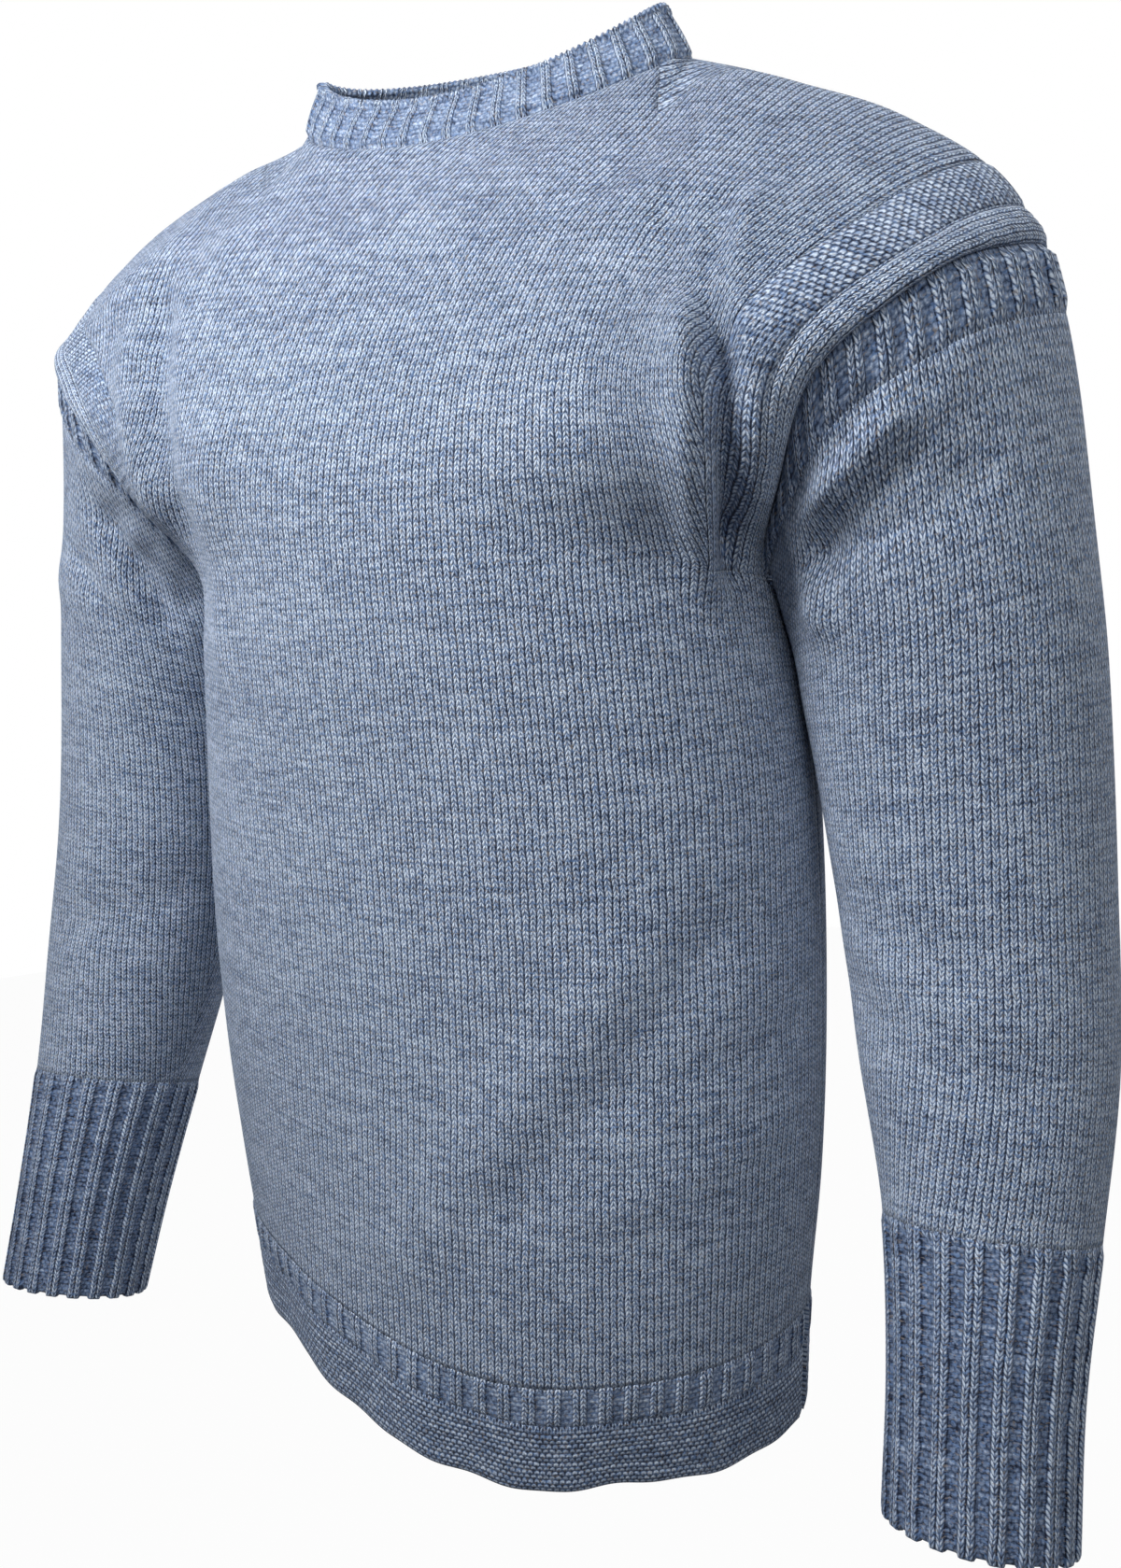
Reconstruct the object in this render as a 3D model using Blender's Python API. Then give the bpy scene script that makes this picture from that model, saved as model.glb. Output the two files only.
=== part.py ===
"""Guernsey fisherman sweater, as worn: hollow knitted shell in thin closed solids.

Metres, +Z up, the front faces -Y and the wearer's left side is +X. The origin is the middle of the
neck opening, level with the middle of the collar's seam.
"""

import math

import bpy
import numpy as np

for old in list(bpy.data.objects):
    bpy.data.objects.remove(old, do_unlink=True)

WALL = 0.003            # thickness of the knitted cloth
COLLAR_WALL = 0.0034    # the collar and the welts are worked a little thicker
ROLLED_WALL = 0.0042    # the collar's cast-off edge is thicker still
COLLAR_PROUD = 0.0012   # the collar bulges this much half way up
COLLAR_LIFT = 0.0012    # and starts this far above the neck's seam line
EDGE_PROUD = 0.0012     # the plain strip along the armhole stands this proud
GARTER_PROUD = 0.0006   # and the ridged one this much
WELT_PROUD = 0.0004     # as do the garter welts
SEAM_GAP = 0.00025      # each side of a seam stops this far short of it
EDGE_BAND = 0.021       # raised plain strip along the armhole
GARTER_BAND = 0.027     # ridged strip beside it
GUSSET_HALF = 0.030     # half width of the underarm diamond
GUSSET_DEEP = 0.060     # its depth down the body
GUSSET_SLEEVE = 0.085   # way down the sleeve at which its half of the diamond ends
HEAD_RIB = 0.022        # ribbing at the head of the sleeve
WELT_HIGH = 0.039       # garter welt above the hem
HEM_RIB_HIGH = 0.021    # ribbing above the welt
VENT_GAP = 0.004        # half width of the slits at the sides of welt and rib
NECK_SHARE = 0.42       # share of the yoke's wales that end in the neck
NECK_GUSSET_IN = 0.32   # wale at which the neck gusset starts along the neck
NECK_GUSSET_OUT = 0.54  # wale at which it ends along the shoulder
SLEEVE_CLEAR = 0.0025   # air between a sleeve and the body beside it
LEAST_CLEAR = 0.0003    # the same where the sleeve starts
FOLD_EDGE = 0.012       # folds die out over this distance from the armhole
HALF_ROW = 0.20         # about half the body's width, to turn lengths into shares of a row
TRIM = 0.0010           # a gusset's point stops this far short of the seam's end
TURN_TRIM = 0.008       # turn left free between a sleeve's cloth and its gusset
TIP_TURN = 0.09         # half of the turn that the gusset still takes at its point

# Body below the underarm. h: height up the cloth, z_mid and z_side: level at the middle and the side,
# x_side: half width, y_front, y_side, y_back: depths, square: 2 is an ellipse.
BODY_ROWS = [
    # h     z_mid   z_side  x_side y_front y_side y_back square
    (0.000, -0.713, -0.712, 0.180, -0.131, 0.000, 0.112, 1.85),
    (0.060, -0.655, -0.646, 0.183, -0.129, 0.000, 0.107, 2.05),
    (0.140, -0.575, -0.569, 0.190, -0.124, 0.000, 0.101, 2.10),
    (0.250, -0.465, -0.460, 0.193, -0.118, 0.000, 0.099, 2.15),
    (0.360, -0.352, -0.350, 0.189, -0.120, 0.000, 0.107, 2.20),
    (0.440, -0.270, -0.280, 0.181, -0.127, 0.000, 0.116, 2.25),
    (0.480, -0.228, -0.242, 0.176, -0.130, 0.000, 0.119, 2.30),
]
UNDERARM = BODY_ROWS[-1][0]
YOKE = 0.235            # height of the yoke up the cloth, from the underarm row to the shoulder

# Yoke rows. v: share of the way up, z_mid, y_mid: the middle, x_arm, y_arm, z_arm: the armhole edge.
FRONT_ROWS = [
    # v    z_mid   y_mid   x_arm  y_arm   z_arm  square
    (0.22, -0.182, -0.130, 0.192, -0.066, -0.198, 2.5),
    (0.44, -0.135, -0.121, 0.212, -0.088, -0.160, 2.6),
    (0.66, -0.088, -0.102, 0.243, -0.084, -0.132, 2.6),
    (0.84, -0.048, -0.077, 0.275, -0.056, -0.108, 2.4),
]
BACK_ROWS = [
    # v    z_mid   y_mid   x_arm  y_arm  z_arm  square
    (0.22, -0.172, 0.122, 0.190, 0.066, -0.200, 2.5),
    (0.44, -0.117, 0.121, 0.210, 0.092, -0.162, 2.6),
    (0.66, -0.063, 0.112, 0.243, 0.088, -0.132, 2.6),
    (0.84, -0.018, 0.092, 0.277, 0.056, -0.106, 2.4),
]
# Neck openings: half width, then places of side, front and back.
#             half   y_side z_side y_front z_front y_back z_back
NECK_SEAM = (0.119, 0.008, 0.023, -0.044, -0.010, 0.064, 0.030)
NECK_EDGE = (0.105, 0.003, 0.049, -0.029, 0.016, 0.061, 0.058)
# Shoulder line from the neck to the armhole. a: share of the way out.
SHOULDER = [
    # a    x      y      z
    (0.00, 0.119, 0.008, 0.023),
    (0.35, 0.182, 0.006, -0.001),
    (0.65, 0.238, 0.004, -0.029),
    (0.87, 0.281, 0.002, -0.064),
    (1.00, 0.300, 0.000, -0.095),
]
# Sleeve rings. s: way down the sleeve, cx, cy, cz: centre, rx: half width sideways, ry: half width
# fore and aft, tilt: degrees that the outer side is raised, swing: degrees that the front is raised.
SLEEVE_ROWS = [
    # s     cx     cy      cz      rx      ry     tilt  swing
    (0.000, 0.236, 0.000, -0.168, 0.0930, 0.0900, 50.0, 0.0),
    (0.060, 0.247, 0.003, -0.225, 0.0800, 0.0740, 30.0, 0.0),
    (0.135, 0.258, 0.003, -0.300, 0.0740, 0.0640, 12.0, 0.0),
    (0.235, 0.270, -0.001, -0.400, 0.0680, 0.0590, 6.0, 4.0),
    (0.325, 0.280, -0.015, -0.490, 0.0620, 0.0570, 2.0, 12.0),
    (0.400, 0.286, -0.035, -0.562, 0.0515, 0.0545, 0.0, 18.0),
    (0.470, 0.288, -0.060, -0.628, 0.0450, 0.0505, 0.0, 21.0),
    (0.540, 0.290, -0.084, -0.692, 0.0440, 0.0455, 0.0, 21.0),
]
CUFF_TOP = 0.400
CUFF_END = 0.540
SLEEVE_BLEND = 0.110    # way down the sleeve over which the armhole's outline fades out
RAISED_SIDE = 0.017     # the wearer's right shoulder is carried this much higher
DRAWN_IN = 0.015        # and this much further in
RAISED_HEM = 0.034      # and the hem below it rides up this much
DRAWN_BACK = 0.012      # and sits this much further back
NECK_ASIDE = 0.004      # the neck sits this far to the wearer's left

# Largest folds: a trough has a depth below zero and a ridge one above. The ends are places on the cloth.
FOLDS = [
    # x0     y0      z0      x1      y1      z1      width  depth   part
    (0.177, -0.110, -0.120, 0.180, -0.106, -0.180, 0.010, -0.007, "body"),
    (0.180, -0.104, -0.184, 0.176, -0.072, -0.218, 0.011, -0.009, "body"),
    (0.158, -0.114, -0.130, 0.160, -0.112, -0.205, 0.016, 0.006, "body"),
    (0.208, -0.096, -0.128, 0.196, -0.088, -0.176, 0.012, 0.004, "body"),
    (-0.172, -0.104, -0.110, -0.172, -0.070, -0.222, 0.012, -0.007, "body"),
    (-0.125, -0.110, -0.110, -0.128, -0.108, -0.270, 0.026, 0.005, "body"),
    (0.175, 0.104, -0.120, 0.178, 0.078, -0.218, 0.012, -0.007, "body"),
    (-0.175, 0.104, -0.120, -0.178, 0.078, -0.218, 0.012, -0.007, "body"),
    (0.120, -0.102, -0.440, 0.000, -0.124, -0.600, 0.022, 0.003, "body"),
    (0.160, -0.070, -0.420, 0.060, -0.118, -0.560, 0.018, -0.003, "body"),
    (-0.110, 0.095, -0.400, 0.020, 0.100, -0.580, 0.022, 0.003, "body"),
    (0.218, -0.076, -0.205, 0.262, -0.070, -0.162, 0.012, 0.004, "sleeve"),
    (0.205, -0.058, -0.238, 0.275, -0.060, -0.205, 0.013, -0.004, "sleeve"),
    (0.215, -0.034, -0.405, 0.275, -0.062, -0.425, 0.014, -0.003, "sleeve"),
    (0.215, -0.040, -0.450, 0.300, -0.064, -0.480, 0.016, -0.003, "sleeve"),
    (-0.220, -0.074, -0.205, -0.196, -0.048, -0.250, 0.013, -0.005, "sleeve"),
    (-0.240, -0.062, -0.250, -0.290, -0.052, -0.240, 0.016, 0.003, "sleeve"),
    (-0.215, -0.040, -0.430, -0.285, -0.064, -0.450, 0.016, -0.003, "sleeve"),
    (0.215, 0.055, -0.235, 0.270, 0.062, -0.195, 0.014, -0.004, "sleeve"),
    (-0.215, 0.055, -0.235, -0.270, 0.062, -0.195, 0.014, -0.004, "sleeve"),
    (0.285, 0.056, -0.400, 0.215, 0.040, -0.440, 0.016, -0.003, "sleeve"),
    (-0.285, 0.056, -0.400, -0.215, 0.040, -0.440, 0.016, -0.003, "sleeve"),
]


def cubic(table, at):
    """Smooth curve through a table whose first column is where each row stands."""
    rows = np.asarray(table, float)
    knots, values = rows[:, 0], rows[:, 1:]
    slopes = np.gradient(values, knots, axis=0)
    at = np.clip(np.asarray(at, float), knots[0], knots[-1])
    i = np.clip(np.searchsorted(knots, at, side="right") - 1, 0, len(knots) - 2)
    step = (knots[i + 1] - knots[i])[..., None]
    t = (at - knots[i])[..., None] / step
    low = (2 * t**3 - 3 * t**2 + 1) * values[i] + (t**3 - 2 * t**2 + t) * step * slopes[i]
    return low + (3 * t**2 - 2 * t**3) * values[i + 1] + (t**3 - t**2) * step * slopes[i + 1]


def smooth(low, high, x):
    t = np.clip((np.asarray(x, float) - low) / (high - low), 0.0, 1.0)
    return t * t * (3.0 - 2.0 * t)


def unit(vectors):
    return vectors / np.maximum(np.linalg.norm(vectors, axis=-1, keepdims=True), 1e-12)


def along_of(points):
    steps = np.linalg.norm(np.diff(points, axis=0), axis=1)
    return np.concatenate([[0.0], np.cumsum(steps)])


def evenly(points, shares):
    """Places at these shares of a polyline's length."""
    along = along_of(points)
    want = np.asarray(shares, float) * along[-1]
    return np.stack([np.interp(want, along, points[:, k]) for k in range(3)], axis=-1)


def quarter(x_side, y_mid, y_side, z_mid, z_side, square):
    """Fine polyline of a quarter ring from the middle (x = 0) to the side."""
    a = np.linspace(0.0, math.pi / 2, 181)
    s = np.sin(a) ** (2.0 / square)
    c = np.cos(a) ** (2.0 / square)
    return np.stack([x_side * s, y_side + (y_mid - y_side) * c, z_mid + (z_side - z_mid) * s**3], axis=-1)


def body_quarter(row, side):
    _, z_mid, z_side, x_side, y_front, y_side, y_back, square = row
    return quarter(x_side, y_front if side < 0 else y_back, y_side, z_mid, z_side, square)


UNDERARM_HALF = {side: along_of(body_quarter(BODY_ROWS[-1], side))[-1] for side in (-1, 1)}
SIDE_WALE = {side: UNDERARM_HALF[side] / (UNDERARM_HALF[side] - GUSSET_HALF) for side in (-1, 1)}
# A wale's coordinate is 0 at the middle and 1 at the armhole's edge; SIDE_WALE is the side line.


def neck_quarter(ring, side, a):
    half, y_side, z_side, y_front, z_front, y_back, z_back = ring
    y_mid, z_mid = (y_front, z_front) if side < 0 else (y_back, z_back)
    turn = np.asarray(a, float) * math.pi / 2
    s = np.sin(turn)
    c = np.cos(turn)
    return np.stack([half * s, y_side + (y_mid - y_side) * c, z_side + (z_mid - z_side) * c**1.5], axis=-1)


def yoke_top(w, side):
    neck = neck_quarter(NECK_SEAM, side, np.clip(w / NECK_SHARE, 0, 1))
    shoulder = cubic(SHOULDER, np.clip((w - NECK_SHARE) / (1 - NECK_SHARE), 0, 1))
    return np.where((w < NECK_SHARE)[..., None], neck, shoulder)


def row_points(side):
    """Knots up the cloth and, for each, the function that places a wale on that row."""
    rows = []
    for row in BODY_ROWS:
        line = body_quarter(row, side)
        rows.append((row[0], lambda w, line=line: evenly(line, w / SIDE_WALE[side])))
    for v, z_mid, y_mid, x_arm, y_arm, z_arm, square in FRONT_ROWS if side < 0 else BACK_ROWS:
        line = quarter(x_arm, y_mid, y_arm, z_mid, z_arm, square)
        rows.append((UNDERARM + v * YOKE, lambda w, line=line: evenly(line, np.clip(w, 0, 1))))
    rows.append((UNDERARM + YOKE, lambda w: yoke_top(np.clip(w, 0, 1), side)))
    return rows


ROWS = {side: row_points(side) for side in (-1, 1)}


def half_body(w, h, side):
    """Points of the +X half at wales w and heights h, before folds. side: -1 front, 1 back."""
    w, h = np.broadcast_arrays(np.asarray(w, float), np.asarray(h, float))
    shape = w.shape
    w, h = np.abs(w).ravel(), h.ravel()
    knots = np.array([row[0] for row in ROWS[side]])
    rows = np.array([row[1](w) for row in ROWS[side]])
    slopes = np.gradient(rows, knots, axis=0)
    arm = len(BODY_ROWS) - 1
    under = smooth(0.90, 1.0, w)[:, None]
    slopes[arm] += under * ((rows[arm] - rows[arm - 1]) / (knots[arm] - knots[arm - 1]) - slopes[arm])
    over = (ROWS[-side][-2][1](w) - rows[-2]) / (2.0 * (knots[-1] - knots[-2]))
    slopes[-1] += smooth(NECK_SHARE - 0.03, NECK_SHARE + 0.14, w)[:, None] * (over - slopes[-1])
    i = np.clip(np.searchsorted(knots, h, side="left") - 1, 0, len(knots) - 2)
    n = np.arange(len(w))
    step = (knots[i + 1] - knots[i])[:, None]
    t = (h - knots[i])[:, None] / step
    low = (2 * t**3 - 3 * t**2 + 1) * rows[i, n] + (t**3 - 2 * t**2 + t) * step * slopes[i, n]
    high = (3 * t**2 - 2 * t**3) * rows[i + 1, n] + (t**3 - t**2) * step * slopes[i + 1, n]
    return (low + high).reshape(shape + (3,))


def half_body_normal(w, h, side):
    w, h = np.broadcast_arrays(np.abs(np.asarray(w, float)), np.asarray(h, float))
    e = 0.004
    limit = np.where(h > UNDERARM, 1.0, SIDE_WALE[side])
    across = half_body(np.minimum(w + e, limit), h, side) - half_body(np.maximum(w - e, 0.0), h, side)
    low = np.where(h > UNDERARM, np.maximum(h - e, UNDERARM), np.maximum(h - e, 0.0))
    high = np.where(h > UNDERARM, np.minimum(h + e, UNDERARM + YOKE), np.minimum(h + e, UNDERARM))
    upward = half_body(w, high, side) - half_body(w, low, side)
    return unit(np.cross(across, upward)) * -side


def settle(points):
    """The wearer's stance: the right shoulder is carried higher, and the hem below it rides up."""
    p = np.array(points, float)
    x, z = p[..., 0].copy(), p[..., 2].copy()
    out = np.clip(-x / 0.30, 0, 1) ** 2.2 * smooth(-0.50, -0.10, z)
    low = smooth(-0.08, 0.14, -x) * smooth(-0.40, -0.70, z)
    low *= 1 - smooth(0.205, 0.225, np.abs(x))
    neck = smooth(-0.10, 0.02, z) * (1 - smooth(0.13, 0.20, np.abs(x)))
    p[..., 0] += DRAWN_IN * out + NECK_ASIDE * neck
    p[..., 1] += DRAWN_BACK * low
    p[..., 2] += RAISED_SIDE * out + RAISED_HEM * low
    return p


def armhole_half(side):
    """Half the armhole of the +X side from the top down to the side line: points and (w, h)."""
    h = np.concatenate([UNDERARM + YOKE * np.linspace(1, 0, 80), np.full(11, UNDERARM)])
    w = np.concatenate([np.ones(80), np.linspace(1, SIDE_WALE[side], 12)[1:]])
    points = half_body(w, h, side)
    return points, w, h, along_of(points) / along_of(points)[-1]


ARMHOLE = {side: armhole_half(side) for side in (-1, 1)}
FOLD_TURN = {side: math.pi * (1 - ARMHOLE[side][3][79]) for side in (-1, 1)}


def fold_depth(points, part):
    """How far the folds move the cloth out (or in) at these places; they die out at the armhole."""
    moved = np.zeros(points.shape[:-1])
    for x0, y0, z0, x1, y1, z1, width, depth, where in FOLDS:
        if where != part:
            continue
        start = np.array([x0, y0, z0])
        run = np.array([x1, y1, z1]) - start
        t = np.clip((points - start) @ run / (run @ run), 0, 1)
        away = np.linalg.norm(points - start - t[..., None] * run, axis=-1)
        moved += depth * np.exp(-((away / width) ** 2))
    edge = np.concatenate([ARMHOLE[-1][0], ARMHOLE[1][0]])
    plus = points * np.where(points[..., :1] < 0, [-1.0, 1.0, 1.0], 1.0)
    away = np.linalg.norm(plus[..., None, :] - edge, axis=-1).min(axis=-1)
    return moved * smooth(0.0, FOLD_EDGE, away)


def by_turn(turn, column):
    """Reads a column of the armhole at a turn: 0 is the top, a quarter the front, a half the bottom."""
    a = np.mod(turn, 2 * math.pi) / math.pi
    front = np.interp(a, ARMHOLE[-1][3], column[-1])
    back = np.interp(2 - a, ARMHOLE[1][3], column[1])
    return np.where(a <= 1, front, back)


def armhole(turn):
    return np.stack([by_turn(turn, {k: ARMHOLE[k][0][:, i] for k in (-1, 1)}) for i in range(3)], axis=-1)


def clear_of_body(points, s):
    """Presses a sleeve that hangs beside the body flat, just clear of it."""
    p = np.array(points, float)
    z = np.clip(p[..., 2], BODY_ROWS[0][1], BODY_ROWS[-1][2])
    rows = cubic(BODY_ROWS, np.interp(z, [row[2] for row in BODY_ROWS], [row[0] for row in BODY_ROWS]))
    depth = np.where(p[..., 1] < 0, -rows[..., 3], rows[..., 5])
    share = np.clip(np.abs(p[..., 1]) / depth, 0, 1)
    beside = rows[..., 2] * (1 - share ** rows[..., 6]) ** (1 / rows[..., 6])
    beside += np.minimum(SLEEVE_CLEAR, LEAST_CLEAR + 0.08 * s)
    p[..., 0] = np.where(p[..., 2] < BODY_ROWS[-1][2], np.maximum(p[..., 0], beside), p[..., 0])
    return p


def sleeve_ring(turn, s):
    """Plain tilted ellipses down the +X sleeve."""
    turn, s = np.broadcast_arrays(np.asarray(turn, float), np.asarray(s, float))
    cx, cy, cz, rx, ry, tilt, swing = np.moveaxis(cubic(SLEEVE_ROWS, s), -1, 0)
    tilt, swing = np.radians(tilt), np.radians(swing)
    side = rx * np.cos(turn)
    fore = ry * np.sin(turn)
    ring = np.stack([cx + side * np.cos(tilt), cy - fore * np.cos(swing), cz], axis=-1)
    ring[..., 2] += side * np.sin(tilt) + fore * np.sin(swing)
    return ring


def half_sleeve(turn, s):
    """Points of the +X sleeve before folds: its rings, carrying the armhole's outline part way down."""
    turn, s = np.broadcast_arrays(np.asarray(turn, float), np.asarray(s, float))
    share = 1.0 - smooth(0.0, SLEEVE_BLEND, s)[..., None]
    return clear_of_body(sleeve_ring(turn, s) + (armhole(turn) - sleeve_ring(turn, 0.0 * s)) * share, s)


def half_sleeve_normal(turn, s):
    turn, s = np.broadcast_arrays(np.asarray(turn, float), np.asarray(s, float))
    e = 0.002
    around = half_sleeve(turn + 0.03, s) - half_sleeve(turn - 0.03, s)
    down = half_sleeve(turn, np.minimum(s + e, CUFF_END)) - half_sleeve(turn, np.maximum(s - e, 0))
    return unit(np.cross(around, down))


def seam_mitre():
    """Way into the wall at the armhole, shared by the body's side and the sleeve's side of it."""
    found = {}
    for side in (-1, 1):
        points, w, h, share = ARMHOLE[side]
        turn = math.pi * share if side < 0 else 2 * math.pi - math.pi * share
        on_body = half_body_normal(w, h, side)
        on_sleeve = half_sleeve_normal(turn, np.full(len(turn), 0.004))
        both = unit(on_body + on_sleeve)
        lean = np.maximum((both * on_body).sum(-1), 0.6)
        found[side] = both / lean[:, None]
    return found


MITRE = seam_mitre()


def mitre(turn):
    return np.stack([by_turn(turn, {k: MITRE[k][:, i] for k in (-1, 1)}) for i in range(3)], axis=-1)


def turn_of(h, side):
    """Turn round the armhole of its edge's point at this height up the yoke."""
    share = np.interp(-np.asarray(h, float), -ARMHOLE[side][2][:80], ARMHOLE[side][3][:80])
    return math.pi * share if side < 0 else 2 * math.pi - math.pi * share


def wale_inside(h, side, distance):
    """Wale that lies this far in from the armhole's edge, measured along the row."""
    w = np.linspace(0, 1, 121)
    found = []
    for level in np.atleast_1d(h):
        line = half_body(w, np.full(121, level), side)
        along = along_of(line)
        found.append(float(np.interp(along[-1] - distance, along, w)))
    return np.array(found)


# Pieces. A wool's name is the way it is knitted.

WOOL = {
    "plain": (0.245, 0.318, 0.448),
    "rib": (0.215, 0.284, 0.410),
    "garter": (0.232, 0.303, 0.430),
}


def wool(kind, piece):
    """Finish of one piece, in the colour of its kind of knitting."""
    made = bpy.data.materials.new(f"{kind}_{piece}")
    made.use_nodes = True
    shader = made.node_tree.nodes["Principled BSDF"]
    shader.inputs["Base Color"].default_value = (*WOOL[kind], 1.0)
    shader.inputs["Roughness"].default_value = 0.92
    shader.inputs["Sheen Weight"].default_value = 0.4
    return made


def cloth(points, normals, part, mirror, wall=WALL, raised=0.0):
    """Outer and inner points of a piece: folds and relief first, then the wall, then the stance."""
    flip = np.array([-1.0, 1.0, 1.0]) if mirror else np.ones(3)
    p = points * flip
    n = normals * flip
    outer = p + n * (fold_depth(p, part) + raised)[..., None]
    return settle(outer), settle(outer - n * np.asarray(wall + raised)[..., None])


def slab(name, outer, inner, kind, cells=None, ring=False):
    """Closed solid between two grids of points. cells: which squares of the grid exist."""
    rows, cols = outer.shape[:2]
    wide = cols if ring else cols - 1
    if cells is None:
        cells = np.ones((rows - 1, wide), bool)
    count = rows * cols
    faces = []
    edges = {}
    for r in range(rows - 1):
        for c in range(wide):
            if not cells[r, c]:
                continue
            d = (c + 1) % cols
            face = (r * cols + c, r * cols + d, (r + 1) * cols + d, (r + 1) * cols + c)
            faces.append(face)
            for a, b in zip(face, face[1:] + face[:1]):
                edges[(a, b)] = True
    walls = [(b, a, a + count, b + count) for a, b in edges if (b, a) not in edges]
    quads = faces + [tuple(i + count for i in reversed(face)) for face in faces] + walls
    points = np.concatenate([outer.reshape(-1, 3), inner.reshape(-1, 3)])
    faces = []
    for a, b, c, d in quads:
        # the shorter diagonal, so that two pieces that meet along a seam are split alike
        if np.linalg.norm(points[a] - points[c]) <= np.linalg.norm(points[b] - points[d]):
            faces += [(a, b, c), (a, c, d)]
        else:
            faces += [(b, c, d), (b, d, a)]
    used = sorted({i for face in faces for i in face})
    index = {old: new for new, old in enumerate(used)}
    faces = [tuple(index[i] for i in face) for face in faces]
    points = points[used]
    if sum(np.dot(points[a], np.cross(points[b], points[c])) for a, b, c in faces) < 0:
        faces = [tuple(reversed(f)) for f in faces]
    mesh = bpy.data.meshes.new(name)
    mesh.from_pydata([tuple(p) for p in points], [], faces)
    mesh.validate()
    mesh.polygons.foreach_set("use_smooth", [True] * len(mesh.polygons))
    mesh.materials.append(wool(kind, name))
    obj = bpy.data.objects.new(name, mesh)
    bpy.context.scene.collection.objects.link(obj)
    return obj


GAP_W = SEAM_GAP / HALF_ROW     # the seam gap as a share of a row
BAND_WIDE = EDGE_BAND + GARTER_BAND
TOP_WALES = [0.0, 0.08, 0.16, 0.24, NECK_GUSSET_IN, NECK_SHARE, NECK_GUSSET_OUT, 0.66, 0.77]
TOP_TRIM = 0.0012           # share of the yoke's height left free under the seams at its top
APEX = UNDERARM - GUSSET_DEEP
NOTCH = 0.450               # row at which the underarm gusset's edge has a corner
LOW_ROWS = [0.061, 0.120, 0.180, 0.240, 0.300, 0.360, APEX, NOTCH, 0.4791]
YOKE_LEVELS = np.array([0.0, 0.07, 0.16, 0.27, 0.39, 0.51, 0.63, 0.75, 0.86, 0.94, 1.0])


def gusset_cut(w):
    """Share of the yoke's height that the neck gusset takes from the top of a wale."""
    up = np.interp(w, [NECK_GUSSET_IN, NECK_SHARE, NECK_GUSSET_OUT], [0.0, 0.085, 0.0])
    return np.asarray(up)


def underarm_reach(h, side):
    """Wale at which the underarm gusset starts, at a height below the underarm row."""
    full = SIDE_WALE[side]
    up = np.clip((np.asarray(h, float) - APEX) / GUSSET_DEEP, 0, 1)
    return full - (full - 1.0) * (0.03 + 0.97 * up)


def panel(name, side):
    """Front or back: plain knitting between the ribs of the hem, the garter bands and the neck."""
    inner_edge = wale_inside(UNDERARM + YOKE * YOKE_LEVELS, side, BAND_WIDE + SEAM_GAP)
    top_edge = inner_edge[-1]
    share = np.array(TOP_WALES + [top_edge - GAP_W]) / (top_edge - GAP_W)
    share = np.concatenate([-share[:0:-1], share])
    outer, inner = [], []
    for h in LOW_ROWS:
        reach = underarm_reach(h, side) if h >= APEX else SIDE_WALE[side]
        reach = float(reach) - (GAP_W if h < UNDERARM - 0.001 else 6 * GAP_W)
        near = inner_edge[0] - GAP_W
        split = inner_edge[0] + (1.0 - inner_edge[0]) * GARTER_BAND / BAND_WIDE
        marks = np.array([0.5 * (split + near), split, 0.5 * (split + 1), 1.0])
        side_wales = near + (reach - near) * (marks - near) / (1 - near)
        w = np.concatenate([-side_wales[::-1], share * near, side_wales])
        outer.append((w, np.full(len(w), h)))
    for v, edge in zip(YOKE_LEVELS[1:], inner_edge[1:]):
        top = 1.0 - gusset_cut(np.abs(share) * top_edge) - TOP_TRIM
        w = share * (edge - GAP_W)
        w = np.concatenate([[w[0]] * 4, w, [w[-1]] * 4])
        levels = np.concatenate([[1] * 4, top, [1] * 4]) * v
        outer.append((w, UNDERARM + YOKE * levels))
    w = np.array([row[0] for row in outer])
    h = np.array([row[1] for row in outer])
    cells = np.ones((len(outer) - 1, w.shape[1] - 1), bool)
    cells[len(LOW_ROWS) - 1:, :4] = False
    cells[len(LOW_ROWS) - 1:, -4:] = False
    normals = half_body_normal(w, np.where(np.abs(h - UNDERARM) < 0.001, UNDERARM, h), side)
    skin, lining = body_cloth(w, h, side, normals=normals)
    return slab(name, skin, lining, "plain", cells)


def body_cloth(w, h, side, wall=WALL, raised=0.0, normals=None):
    """Outer and inner points of part of the body; w below 0 is the wearer's right."""
    points = half_body(w, h, side)
    if normals is None:
        normals = half_body_normal(w, h, side)
    hand = np.ones(w.shape + (3,))
    hand[..., 0] = np.where(w < 0, -1.0, 1.0)
    return cloth(points * hand, normals * hand, "body", False, wall, raised + np.zeros(w.shape))


def over_shoulder():
    """Heights and sides of a strip that runs from the front of the underarm over to the back."""
    up = UNDERARM + YOKE * np.maximum(YOKE_LEVELS, 0.0034)
    return [(h, -1) for h in up] + [(h, 1) for h in up[-2::-1]]


def band(name, mirror, start, end, raised, kind):
    """Strip of the yoke along the armhole, from start to end in from its edge."""
    skin, lining = [], []
    for h, side in over_shoulder():
        near = float(wale_inside(h, side, max(end, 0.0008) if h < UNDERARM + 0.001 else end)[0])
        far = float(wale_inside(h, side, start)[0])
        w = np.linspace(far, near, 3)
        points = half_body(w, h, side)
        normals = half_body_normal(w, UNDERARM if h < UNDERARM + 0.001 else h, side)
        if end < EDGE_BAND and h > UNDERARM + 0.001:
            normals[-1] = mitre(turn_of(h, side))
        outer, inner = cloth(points, normals, "body", mirror, WALL, np.full(3, raised))
        skin.append(outer)
        lining.append(inner)
    return slab(name, np.array(skin), np.array(lining), kind)


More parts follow.
